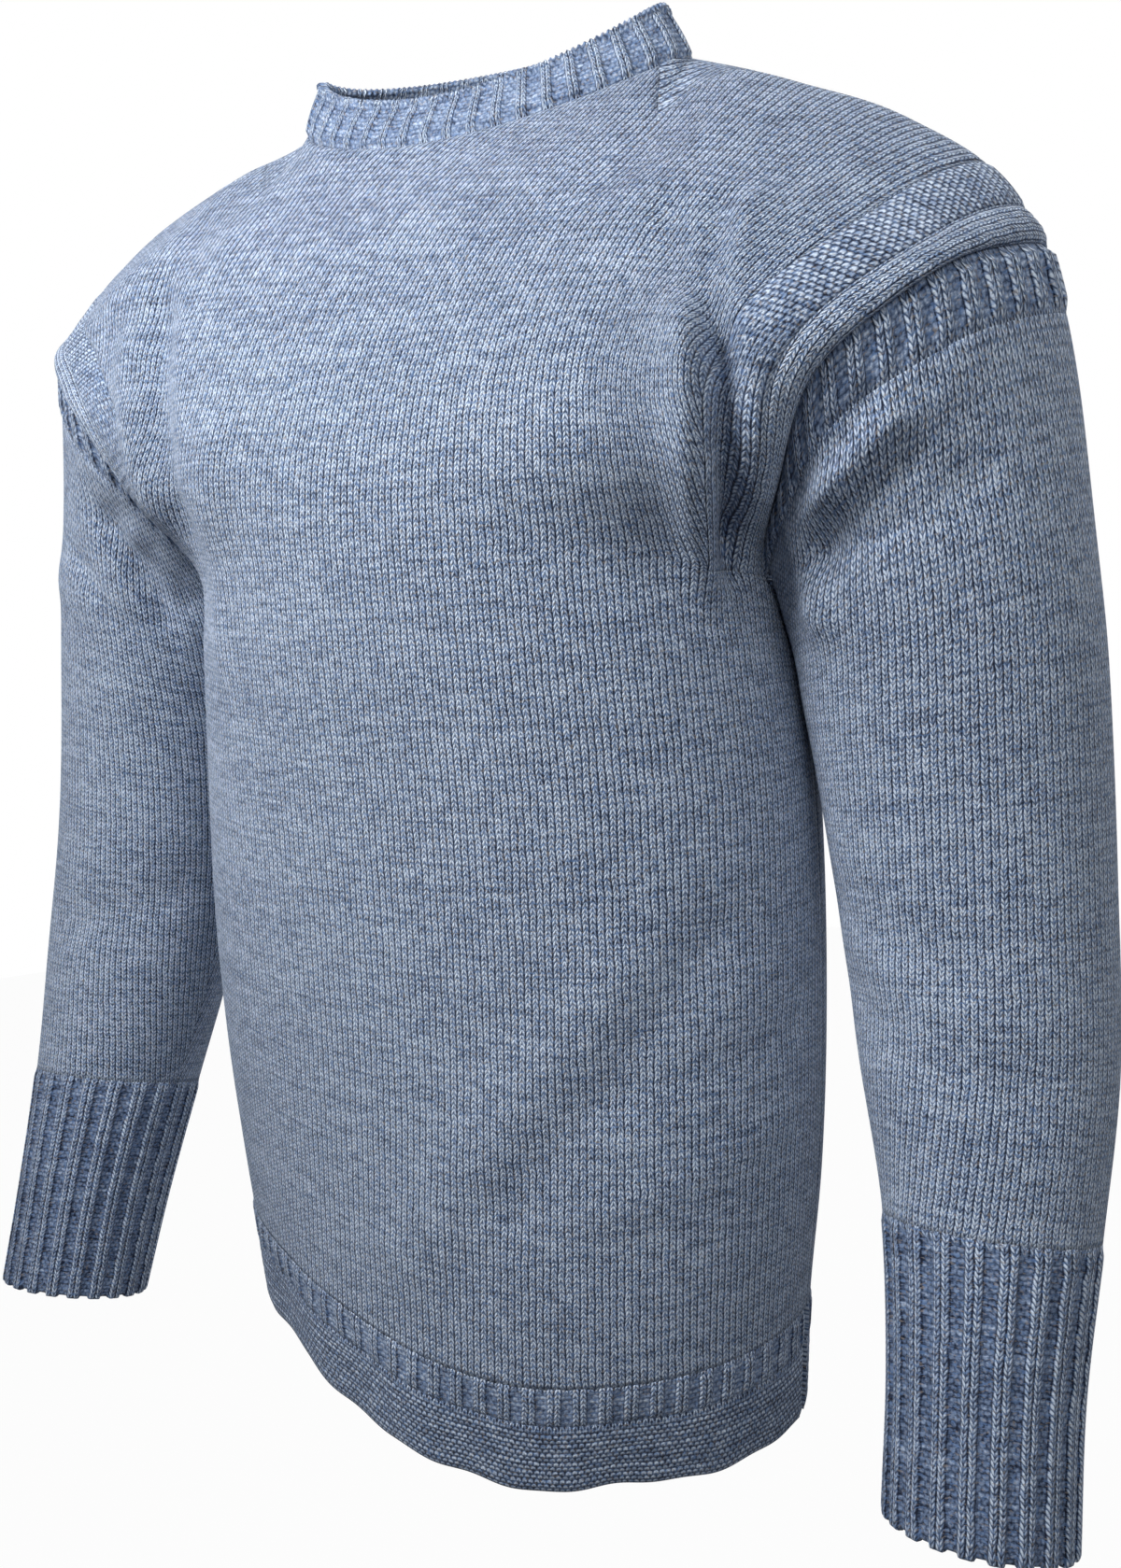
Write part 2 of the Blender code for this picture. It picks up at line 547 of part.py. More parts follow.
def sleeve_limit(s):
    """Half of the turn that the underarm gusset takes at this way down the sleeve, front and back."""
    down = np.clip(np.asarray(s, float) / GUSSET_SLEEVE, 0, 1)
    return {side: FOLD_TURN[side] * (1 - down) + TIP_TURN * down for side in (-1, 1)}


def sleeve_cloth(turn, s, mirror, wall=WALL, raised=0.0):
    points = half_sleeve(turn, s)
    normals = half_sleeve_normal(turn, s)
    blend = smooth(0.0, 0.006, s)[..., None]
    normals = mitre(turn) * (1 - blend) + normals * blend
    return cloth(points, normals, "sleeve", mirror, wall, raised + np.zeros(np.shape(s)))


GUSSET_WAYS = (0.042, 0.063)
SLEEVE_WAYS = (0.115, 0.150, 0.190, 0.230, 0.270, 0.310, 0.355)
COLUMNS = np.concatenate([
    turn_of(UNDERARM + YOKE * YOKE_LEVELS, 1) - 2 * math.pi,
    turn_of(UNDERARM + YOKE * YOKE_LEVELS[-2::-1], -1),
])      # turns at which the sleeve meets the ends of the yoke's rows, from the back to the front


def sleeve_grid(ways, closed=False):
    """Turns and ways down for rows of a sleeve, stopping at the gusset where it is there."""
    turns = []
    for s in ways:
        limit = sleeve_limit(s)
        room = {side: math.pi - limit[side] - TURN_TRIM for side in (-1, 1)}
        if s >= GUSSET_SLEEVE or closed:
            room = {side: math.pi * (1 - 1 / len(COLUMNS)) for side in (-1, 1)}
        scale = {side: room[side] / (math.pi - FOLD_TURN[side]) for side in (-1, 1)}
        turns.append(COLUMNS * np.where(COLUMNS < 0, scale[1], scale[-1]))
    turns = np.array(turns)
    return turns, np.broadcast_to(np.asarray(ways, float)[:, None], turns.shape)


def head_rib(name, mirror):
    turn, s = sleeve_grid([3 * SEAM_GAP, HEAD_RIB / 2, HEAD_RIB - SEAM_GAP])
    skin, lining = sleeve_cloth(turn, s, mirror)
    return slab(name, skin, lining, "rib")


def sleeve_tube(name, mirror):
    ways = [HEAD_RIB + SEAM_GAP, *GUSSET_WAYS, GUSSET_SLEEVE, *SLEEVE_WAYS, CUFF_TOP - SEAM_GAP]
    turn, s = sleeve_grid(ways)
    skin, lining = sleeve_cloth(turn, s, mirror)
    cells = np.ones((len(ways) - 1, len(COLUMNS)), bool)
    cells[:1 + len(GUSSET_WAYS), -1] = False
    return slab(name, skin, lining, "plain", cells, ring=True)


def cuff(name, mirror):
    turn, s = sleeve_grid([CUFF_TOP + SEAM_GAP, 0.445, 0.490, CUFF_END], closed=True)
    skin, lining = sleeve_cloth(turn, s, mirror)
    return slab(name, skin, lining, "rib", ring=True)


def underarm_gusset(name, mirror):
    """Diamond under the arm: half on the body and half on the sleeve, folded along the armhole."""
    across = np.linspace(-1, 1, 5)
    sides = np.where(across <= 0, -1, 1)
    skin, lining = [], []
    for h in (APEX + TRIM, NOTCH):
        row = []
        for c, side in zip(across, sides):
            reach = float(underarm_reach(h, side)) + GAP_W
            w = np.array([SIDE_WALE[side] - abs(c) * (SIDE_WALE[side] - reach)])
            row.append(cloth(half_body(w, h, side), half_body_normal(w, h, side), "body", mirror))
        skin.append([pair[0][0] for pair in row])
        lining.append([pair[1][0] for pair in row])
    for s in (0.0, HEAD_RIB / 2, HEAD_RIB, *GUSSET_WAYS, GUSSET_SLEEVE - TRIM):
        limit = sleeve_limit(s)
        turn = np.array([math.pi + c * (limit[side] - TURN_TRIM) for c, side in zip(across, sides)])
        outer, inner = sleeve_cloth(turn, np.full(len(turn), s), mirror)
        skin.append(outer)
        lining.append(inner)
    return slab(name, np.array(skin), np.array(lining), "plain")


def neck_gusset(name, mirror):
    """Small triangle at the side of the neck, its point out along the shoulder."""
    skin, lining = [], []
    for i in (0.0, 0.4545, 0.93):
        ridge_w = NECK_SHARE + (NECK_GUSSET_OUT - NECK_SHARE) * i
        edge_w = NECK_GUSSET_IN + (NECK_GUSSET_OUT - NECK_GUSSET_IN) * i + 0.004
        edge_v = 1.0 - float(gusset_cut(edge_w))
        row_out, row_in = [], []
        for c in np.linspace(-1, 1, 7):
            side = -1 if c <= 0 else 1
            w = ridge_w + (edge_w - ridge_w) * abs(c)
            v = 1.0 + (edge_v - 1.0) * abs(c)
            h = UNDERARM + YOKE * v
            points = half_body(np.array([w]), h, side)
            normals = half_body_normal(np.array([w]), h, side)
            outer, inner = cloth(points, normals, "body", mirror, WALL, np.zeros(1))
            row_out.append(outer[0])
            row_in.append(inner[0])
        skin.append(row_out)
        lining.append(row_in)
    return slab(name, np.array(skin), np.array(lining), "plain")


def collar():
    """Ribbed ring from the neck seam to its cast-off edge."""
    parts = np.array([0, 0.095, 0.19, 0.285, 0.38, 0.475, 0.57, 0.665, 0.762, 0.88, 1.0])
    front = [(a, -1, 1) for a in parts] + [(a, 1, 1) for a in parts[-2::-1]]
    ring = front + [(a, 1, -1) for a in parts[1:]] + [(a, -1, -1) for a in parts[-2:0:-1]]
    low = np.array([neck_quarter(NECK_SEAM, side, a) * [hand, 1, 1] for a, side, hand in ring])
    high = np.array([neck_quarter(NECK_EDGE, side, a) * [hand, 1, 1] for a, side, hand in ring])
    rise = unit(high - low)
    around = np.roll(low, -1, axis=0) - np.roll(low, 1, axis=0)
    normal = unit(np.cross(around, rise))
    normal = normal * np.sign((normal * (low - low.mean(axis=0))).sum(axis=1))[:, None]
    rows_out, rows_in = [], []
    levels = ((0.0, 0.0, COLLAR_WALL), (0.5, COLLAR_PROUD, COLLAR_WALL), (1.0, 0.0, ROLLED_WALL))
    for share, proud, wall in levels:
        points = low + rise * COLLAR_LIFT + (high - low - rise * COLLAR_LIFT) * share
        outer, inner = cloth(points, normal, "collar", False, wall, np.full(len(points), proud))
        rows_out.append(outer)
        rows_in.append(inner)
    return slab("collar", np.array(rows_out), np.array(rows_in), "rib", ring=True)


def hem_piece(name, side, levels, wall, raised, kind):
    """Strip of the hem between two heights, open at the sides for the slits."""
    corner = np.linspace(0.9, SIDE_WALE[side] - VENT_GAP / HALF_ROW, 3)[1:]
    w = np.concatenate([-corner[::-1], np.linspace(-0.9, 0.9, 17), corner])
    w, h = np.meshgrid(w, np.asarray(levels, float))
    skin, lining = body_cloth(w, h, side, wall, raised)
    return slab(name, skin, lining, kind)


panel("front_panel", -1)
panel("back_panel", 1)
collar()
for end, side in (("front", -1), ("back", 1)):
    welt = (0.0, WELT_HIGH / 2, WELT_HIGH - SEAM_GAP)
    rib = (WELT_HIGH + SEAM_GAP, WELT_HIGH + HEM_RIB_HIGH)
    hem_piece(f"hem_welt_{end}", side, welt, COLLAR_WALL, WELT_PROUD, "garter")
    hem_piece(f"hem_rib_{end}", side, rib, WALL, 0.0, "rib")
for hand, mirror in (("left", False), ("right", True)):
    band(f"garter_band_{hand}", mirror, BAND_WIDE - SEAM_GAP, EDGE_BAND + SEAM_GAP, GARTER_PROUD, "garter")
    band(f"edge_band_{hand}", mirror, EDGE_BAND - SEAM_GAP, 2 * SEAM_GAP, EDGE_PROUD, "plain")
    head_rib(f"sleeve_rib_{hand}", mirror)
    sleeve_tube(f"sleeve_{hand}", mirror)
    cuff(f"cuff_{hand}", mirror)
    underarm_gusset(f"underarm_gusset_{hand}", mirror)
    neck_gusset(f"neck_gusset_{hand}", mirror)
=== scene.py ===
"""Guernsey fisherman sweater: the knitted pieces, their wool, a plain stage, soft light and the camera.

Metres, +Z up, the front faces -Y and the wearer's left side is +X. The origin is the middle of the
neck opening. Every piece is a thin closed shell worked out from a wale and a height on the cloth.
"""

import logging
import math
from dataclasses import dataclass
from enum import Enum
from typing import Callable, Dict, List, Optional, Sequence, Tuple

import bpy
import numpy as np
from mathutils import Matrix, Vector


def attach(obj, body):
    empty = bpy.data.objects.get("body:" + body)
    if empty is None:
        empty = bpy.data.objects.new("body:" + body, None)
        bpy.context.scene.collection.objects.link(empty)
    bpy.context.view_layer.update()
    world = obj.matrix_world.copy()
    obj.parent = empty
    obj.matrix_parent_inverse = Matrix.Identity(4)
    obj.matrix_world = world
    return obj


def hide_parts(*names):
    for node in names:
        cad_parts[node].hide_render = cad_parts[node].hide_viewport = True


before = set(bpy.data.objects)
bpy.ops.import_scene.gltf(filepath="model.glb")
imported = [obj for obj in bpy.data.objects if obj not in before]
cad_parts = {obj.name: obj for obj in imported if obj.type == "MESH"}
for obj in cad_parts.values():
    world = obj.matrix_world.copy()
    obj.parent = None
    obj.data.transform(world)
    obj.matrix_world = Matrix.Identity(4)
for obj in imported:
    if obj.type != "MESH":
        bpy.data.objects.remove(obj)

LOG = logging.getLogger("sweater")
Array = np.ndarray
Arrays = Tuple[Array, Array]
Pair = Tuple[float, float]
Triple = Tuple[float, float, float]
Four = Tuple[float, float, float, float]
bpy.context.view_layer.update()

WALL = 0.0030           # thickness of the knitted cloth
WALE = 0.0037           # width of a stitch
COURSE = 0.0027         # height of a stitch
SEAM_LAP = 0.0002       # neighbouring pieces run this far under one another
UNDERARM = 0.480        # height up the cloth of the underarm
YOKE = 0.235            # from the underarm up to the shoulder line
EDGE_BAND = 0.021       # raised plain strip along the armhole
GARTER_BAND = 0.027     # ridged strip beside it
BAND_WIDE = EDGE_BAND + GARTER_BAND
GUSSET_HALF = 0.030     # half width of the underarm diamond
GUSSET_DEEP = 0.060     # its depth down the body
GUSSET_SLEEVE = 0.085   # way down the sleeve at which it ends
HEAD_RIB = 0.022        # ribbing at the head of the sleeve
WELT_HIGH = 0.039       # garter welt above the hem
HEM_RIB_HIGH = 0.021    # ribbing above the welt
NECK_SHARE = 0.42       # share of the yoke's wales that end in the neck
NECK_GUSSET_IN = 0.32   # wale at which the neck gusset starts along the neck
NECK_GUSSET_OUT = 0.54  # wale at which it ends along the shoulder
CUFF_TOP = 0.400        # way down the sleeve at which the cuff starts
CUFF_END = 0.540
SLEEVE_BLEND = 0.110    # the armhole's outline fades out over this way down
SLEEVE_CLEAR = 0.0025   # air between a sleeve and the body beside it
LEAST_CLEAR = 0.0003    # the same where the sleeve starts
CLEAR_GROWS = 0.08      # and how fast it grows down the sleeve
HALF_ROW = 0.20         # about half the body's width, to turn lengths into wales
BULGE = 1.2             # how much longer a row is along the cloth's curve
NOTCH = 0.085           # share of the yoke's height that the neck gusset takes at most
QUARTER_POINTS = 181    # points of a fine quarter ring
ARM_POINTS = 80         # points down half an armhole, to the underarm
UNDER_POINTS = 12       # and from there to the side line
SIDE_LAP = 0.0010       # panels run this far under the underarm gusset
YOKE_START = UNDERARM - 0.0006  # the yoke's lowest row, just under the underarm
RIB_COUNT = 4           # wales in one repeat of the two by two ribbing

# Body below the underarm. h: height up the cloth, z_mid and z_side: level at the middle and the side,
# x_side: half width, y_front, y_side, y_back: depths, square: 2 is an ellipse.
BODY_ROWS = (
    # h     z_mid   z_side  x_side y_front y_side y_back square
    (0.000, -0.713, -0.712, 0.180, -0.131, 0.000, 0.112, 1.85),
    (0.060, -0.655, -0.646, 0.183, -0.129, 0.000, 0.107, 2.05),
    (0.140, -0.575, -0.569, 0.190, -0.124, 0.000, 0.101, 2.10),
    (0.250, -0.465, -0.460, 0.193, -0.118, 0.000, 0.099, 2.15),
    (0.360, -0.352, -0.350, 0.189, -0.120, 0.000, 0.107, 2.20),
    (0.440, -0.270, -0.280, 0.181, -0.127, 0.000, 0.116, 2.25),
    (0.480, -0.228, -0.242, 0.176, -0.130, 0.000, 0.119, 2.30),
)
# Yoke rows. v: share of its height, then the middle's level and depth, the armhole edge's place, square.
FRONT_ROWS = (
    # v    z_mid   y_mid   x_arm  y_arm   z_arm   square
    (0.22, -0.182, -0.130, 0.192, -0.066, -0.198, 2.5),
    (0.44, -0.135, -0.121, 0.212, -0.088, -0.160, 2.6),
    (0.66, -0.088, -0.102, 0.243, -0.084, -0.132, 2.6),
    (0.84, -0.048, -0.077, 0.275, -0.056, -0.108, 2.4),
)
BACK_ROWS = (
    (0.22, -0.172, 0.122, 0.190, 0.066, -0.200, 2.5),
    (0.44, -0.117, 0.121, 0.210, 0.092, -0.162, 2.6),
    (0.66, -0.063, 0.112, 0.243, 0.088, -0.132, 2.6),
    (0.84, -0.018, 0.092, 0.277, 0.056, -0.106, 2.4),
)
# Neck openings: half width, then places of side, front and back.
#             half   y_side z_side y_front z_front y_back z_back
NECK_SEAM = (0.119, 0.008, 0.023, -0.044, -0.010, 0.064, 0.030)
NECK_EDGE = (0.105, 0.003, 0.049, -0.029, 0.016, 0.061, 0.058)
# Shoulder line from the neck to the armhole. a: share of the way out.
SHOULDER = (
    # a    x      y      z
    (0.00, 0.119, 0.008, 0.023),
    (0.35, 0.182, 0.006, -0.001),
    (0.65, 0.238, 0.004, -0.029),
    (0.87, 0.281, 0.002, -0.064),
    (1.00, 0.300, 0.000, -0.095),
)
# Sleeve rings. s: way down the sleeve, cx, cy, cz: centre, rx: half width sideways, ry: half width
# fore and aft, tilt: degrees that the outer side is raised, swing: degrees that the front is raised.
SLEEVE_ROWS = (
    # s     cx     cy      cz      rx      ry     tilt  swing
    (0.000, 0.236, 0.000, -0.168, 0.0930, 0.0900, 50.0, 0.0),
    (0.060, 0.247, 0.003, -0.225, 0.0800, 0.0740, 30.0, 0.0),
    (0.135, 0.258, 0.003, -0.300, 0.0740, 0.0640, 12.0, 0.0),
    (0.235, 0.270, -0.001, -0.400, 0.0680, 0.0590, 6.0, 4.0),
    (0.325, 0.280, -0.015, -0.490, 0.0620, 0.0570, 2.0, 12.0),
    (0.400, 0.286, -0.035, -0.562, 0.0515, 0.0545, 0.0, 18.0),
    (0.470, 0.288, -0.060, -0.628, 0.0450, 0.0505, 0.0, 21.0),
    (0.540, 0.290, -0.084, -0.692, 0.0440, 0.0455, 0.0, 21.0),
)
# Creases: a trough has a depth below zero and a ridge one above. The ends are places on the cloth.
FOLDS = (
    # x0     y0      z0      x1      y1      z1      width  depth   part
    (0.208, -0.096, -0.128, 0.196, -0.088, -0.176, 0.012, 0.004, "body"),
    (0.175, 0.104, -0.120, 0.178, 0.078, -0.218, 0.012, -0.007, "body"),
    (-0.175, 0.104, -0.120, -0.178, 0.078, -0.218, 0.012, -0.007, "body"),
    (0.120, -0.102, -0.440, 0.000, -0.124, -0.600, 0.022, 0.003, "body"),
    (0.160, -0.070, -0.420, 0.060, -0.118, -0.560, 0.018, -0.003, "body"),
    (-0.110, 0.095, -0.400, 0.020, 0.100, -0.580, 0.022, 0.003, "body"),
    (0.218, -0.076, -0.205, 0.262, -0.070, -0.162, 0.012, 0.004, "sleeve"),
    (0.205, -0.058, -0.238, 0.275, -0.060, -0.205, 0.013, -0.004, "sleeve"),
    (0.215, -0.034, -0.405, 0.275, -0.062, -0.425, 0.014, -0.003, "sleeve"),
    (0.215, -0.040, -0.450, 0.300, -0.064, -0.480, 0.016, -0.003, "sleeve"),
    (-0.220, -0.074, -0.205, -0.196, -0.048, -0.250, 0.013, -0.005, "sleeve"),
    (-0.240, -0.062, -0.250, -0.290, -0.052, -0.240, 0.016, 0.003, "sleeve"),
    (-0.215, -0.040, -0.430, -0.285, -0.064, -0.450, 0.016, -0.003, "sleeve"),
    (0.215, 0.055, -0.235, 0.270, 0.062, -0.195, 0.014, -0.004, "sleeve"),
    (-0.215, 0.055, -0.235, -0.270, 0.062, -0.195, 0.014, -0.004, "sleeve"),
    (0.285, 0.056, -0.400, 0.215, 0.040, -0.440, 0.016, -0.003, "sleeve"),
    (-0.285, 0.056, -0.400, -0.215, 0.040, -0.440, 0.016, -0.003, "sleeve"),
    # finer creases, laid over the large ones
    (0.196, -0.062, -0.232, 0.204, -0.054, -0.262, 0.0120, 0.007, "sleeve"),
    (0.208, -0.060, -0.232, 0.256, -0.075, -0.192, 0.0070, -0.005, "sleeve"),
    (0.206, -0.066, -0.214, 0.246, -0.080, -0.176, 0.0070, 0.004, "sleeve"),
    (0.204, -0.064, -0.202, 0.234, -0.082, -0.168, 0.0050, -0.004, "sleeve"),
    (-0.180, -0.100, -0.150, -0.174, -0.078, -0.232, 0.0100, -0.006, "body"),
    (-0.155, -0.112, -0.150, -0.148, -0.108, -0.250, 0.0120, 0.005, "body"),
    (0.189, -0.028, -0.470, 0.120, -0.100, -0.500, 0.012, -0.0018, "body"),
    (0.185, -0.040, -0.520, 0.110, -0.105, -0.560, 0.012, 0.0016, "body"),
    (-0.097, -0.124, -0.164, -0.116, -0.105, -0.276, 0.014, 0.0025, "body"),
    (0.241, -0.078, -0.178, 0.215, -0.073, -0.206, 0.006, 0.0022, "sleeve"),
    (0.247, -0.070, -0.222, 0.205, -0.057, -0.238, 0.007, -0.0025, "sleeve"),
    (0.262, -0.070, -0.159, 0.225, -0.075, -0.187, 0.007, -0.0025, "sleeve"),
    (0.213, -0.033, -0.402, 0.285, -0.062, -0.426, 0.007, 0.0015, "sleeve"),
    (-0.206, -0.062, -0.224, -0.194, -0.044, -0.251, 0.007, -0.003, "sleeve"),
    (-0.238, -0.078, -0.183, -0.218, -0.074, -0.203, 0.008, -0.002, "sleeve"),
)

# Long creases, which follow a path through places on the cloth.
CREASES = (
    # part  width  depth  path
    ("body", 0.0068, -0.0190, ((0.166, -0.102, -0.108), (0.175, -0.109, -0.134), (0.180, -0.109, -0.156),
                               (0.181, -0.107, -0.171), (0.179, -0.103, -0.186), (0.177, -0.092, -0.201),
                               (0.172, -0.072, -0.218), (0.167, -0.054, -0.240))),
    ("body", 0.0095, 0.0100, ((0.158, -0.110, -0.105), (0.163, -0.113, -0.155), (0.162, -0.109, -0.186),
                              (0.157, -0.088, -0.217), (0.153, -0.066, -0.250))),
    ("body", 0.0080, 0.0060, ((0.186, -0.100, -0.118), (0.193, -0.104, -0.150), (0.192, -0.098, -0.175),
                              (0.189, -0.084, -0.200), (0.183, -0.064, -0.218))),
    ("body", 0.0090, -0.0035, ((0.146, -0.085, -0.062), (0.154, -0.100, -0.101), (0.162, -0.108, -0.125))),
    ("body", 0.0070, -0.0030, ((0.171, -0.082, -0.068), (0.175, -0.103, -0.114))),
    ("body", 0.0070, 0.0030, ((0.184, -0.078, -0.070), (0.182, -0.100, -0.112))),
    ("sleeve", 0.0075, -0.0065, ((-0.252, -0.076, -0.186), (-0.238, -0.075, -0.199),
                                 (-0.226, -0.072, -0.213), (-0.216, -0.065, -0.229),
                                 (-0.208, -0.055, -0.248), (-0.203, -0.046, -0.270))),
    ("sleeve", 0.0085, 0.0040, ((-0.226, -0.074, -0.196), (-0.212, -0.069, -0.214), (-0.202, -0.058, -0.232),
                                (-0.195, -0.042, -0.262))),
    ("sleeve", 0.0080, -0.0035, ((-0.275, -0.062, -0.215), (-0.250, -0.066, -0.240),
                                 (-0.228, -0.056, -0.268))),
    ("body", 0.0105, -0.0075, ((-0.159, -0.078, -0.063), (-0.150, -0.097, -0.092), (-0.143, -0.108, -0.118),
                               (-0.139, -0.116, -0.143), (-0.136, -0.118, -0.167), (-0.135, -0.115, -0.195),
                               (-0.138, -0.105, -0.230))),
    ("body", 0.0100, 0.0040, ((-0.175, -0.092, -0.089), (-0.170, -0.105, -0.116), (-0.166, -0.112, -0.142),
                              (-0.160, -0.114, -0.165), (-0.157, -0.108, -0.195))),
    ("body", 0.0260, 0.0045, ((-0.150, -0.060, -0.045), (-0.186, -0.072, -0.066),
                              (-0.205, -0.080, -0.095))),
)
# Wales of half a panel up the yoke. up: share of its height, open: in plain sight, tucked: in the crease.
YOKE_WALES = (
    # up   open  tucked
    (0.0, 45.9, 0.0),
    (0.2, 47.0, 4.0),
    (0.4, 49.5, 7.0),
    (0.6, 54.5, 5.5),
    (0.8, 62.0, 2.0),
    (1.0, 67.0, 0.0),
)


def hermite(t: Array, step: Array, ends: Arrays, slopes: Arrays) -> Array:
    """Cubic between two knots.

    Args:
        t: share of the way from one to the other.
        step: distance between them.
        ends: values at both.
        slopes: slopes at both.

    Returns:
        The values between them.
    """
    low = (2 * t**3 - 3 * t**2 + 1) * ends[0] + (t**3 - 2 * t**2 + t) * step * slopes[0]
    return low + (3 * t**2 - 2 * t**3) * ends[1] + (t**3 - t**2) * step * slopes[1]


def cubic(table: Sequence[Sequence[float]], at: Array) -> Array:
    """Smooth curve through a table whose first column is where each row stands.

    Args:
        table: rows of numbers.
        at: places to read it at.

    Returns:
        The other columns there.
    """
    rows = np.asarray(table, float)
    knots, values = rows[:, 0], rows[:, 1:]
    slopes = np.gradient(values, knots, axis=0)
    at = np.clip(np.asarray(at, float), knots[0], knots[-1])
    i = np.clip(np.searchsorted(knots, at, side="right") - 1, 0, len(knots) - 2)
    step = (knots[i + 1] - knots[i])[..., None]
    t = (at - knots[i])[..., None] / step
    return hermite(t, step, (values[i], values[i + 1]), (slopes[i], slopes[i + 1]))


def smooth(low: float, high: float, x: Array) -> Array:
    """0 below low, 1 above high and a soft step between."""
    t = np.clip((np.asarray(x, float) - low) / (high - low), 0.0, 1.0)
    return t * t * (3.0 - 2.0 * t)


def unit(vectors: Array) -> Array:
    """The vectors at length one."""
    return vectors / np.maximum(np.linalg.norm(vectors, axis=-1, keepdims=True), 1e-12)


def along_of(points: Array) -> Array:
    """Length along a polyline at each of its points."""
    steps = np.linalg.norm(np.diff(points, axis=0), axis=1)
    return np.concatenate([[0.0], np.cumsum(steps)])


def evenly(points: Array, shares: Array) -> Array:
    """Places at these shares of a polyline's length."""
    along = along_of(points)
    want = np.asarray(shares, float) * along[-1]
    return np.stack([np.interp(want, along, points[:, k]) for k in range(3)], axis=-1)


@dataclass(frozen=True)
class Stance:
    """How the garment sits: the right shoulder is carried higher, and the hem below it rides up."""

    raised_side: float = 0.017
    drawn_in: float = 0.015
    raised_hem: float = 0.034
    drawn_back: float = 0.012   # of the raised hem
    neck_aside: float = 0.004
    shoulder: float = 0.30      # how far out the shoulder is carried fully
    late: float = 2.2           # how late the carrying sets in
    arm_levels: Pair = (-0.50, -0.10)
    hem_levels: Pair = (-0.40, -0.70)
    hem_across: Pair = (-0.08, 0.14)
    beyond_body: Pair = (0.205, 0.225)
    neck_levels: Pair = (-0.10, 0.02)
    beyond_neck: Pair = (0.13, 0.20)

    def settle(self, points: Array) -> Array:
        """The places as they are worn."""
        p = np.array(points, float)
        x, z = p[..., 0].copy(), p[..., 2].copy()
        out = np.clip(-x / self.shoulder, 0, 1) ** self.late * smooth(*self.arm_levels, z)
        low = smooth(*self.hem_across, -x) * smooth(*self.hem_levels, z)
        low *= 1 - smooth(*self.beyond_body, np.abs(x))
        neck = smooth(*self.neck_levels, z) * (1 - smooth(*self.beyond_neck, np.abs(x)))
        p[..., 0] += self.drawn_in * out + self.neck_aside * neck
        p[..., 1] += self.drawn_back * low
        p[..., 2] += self.raised_side * out + self.raised_hem * low
        return p


STANCE = Stance()


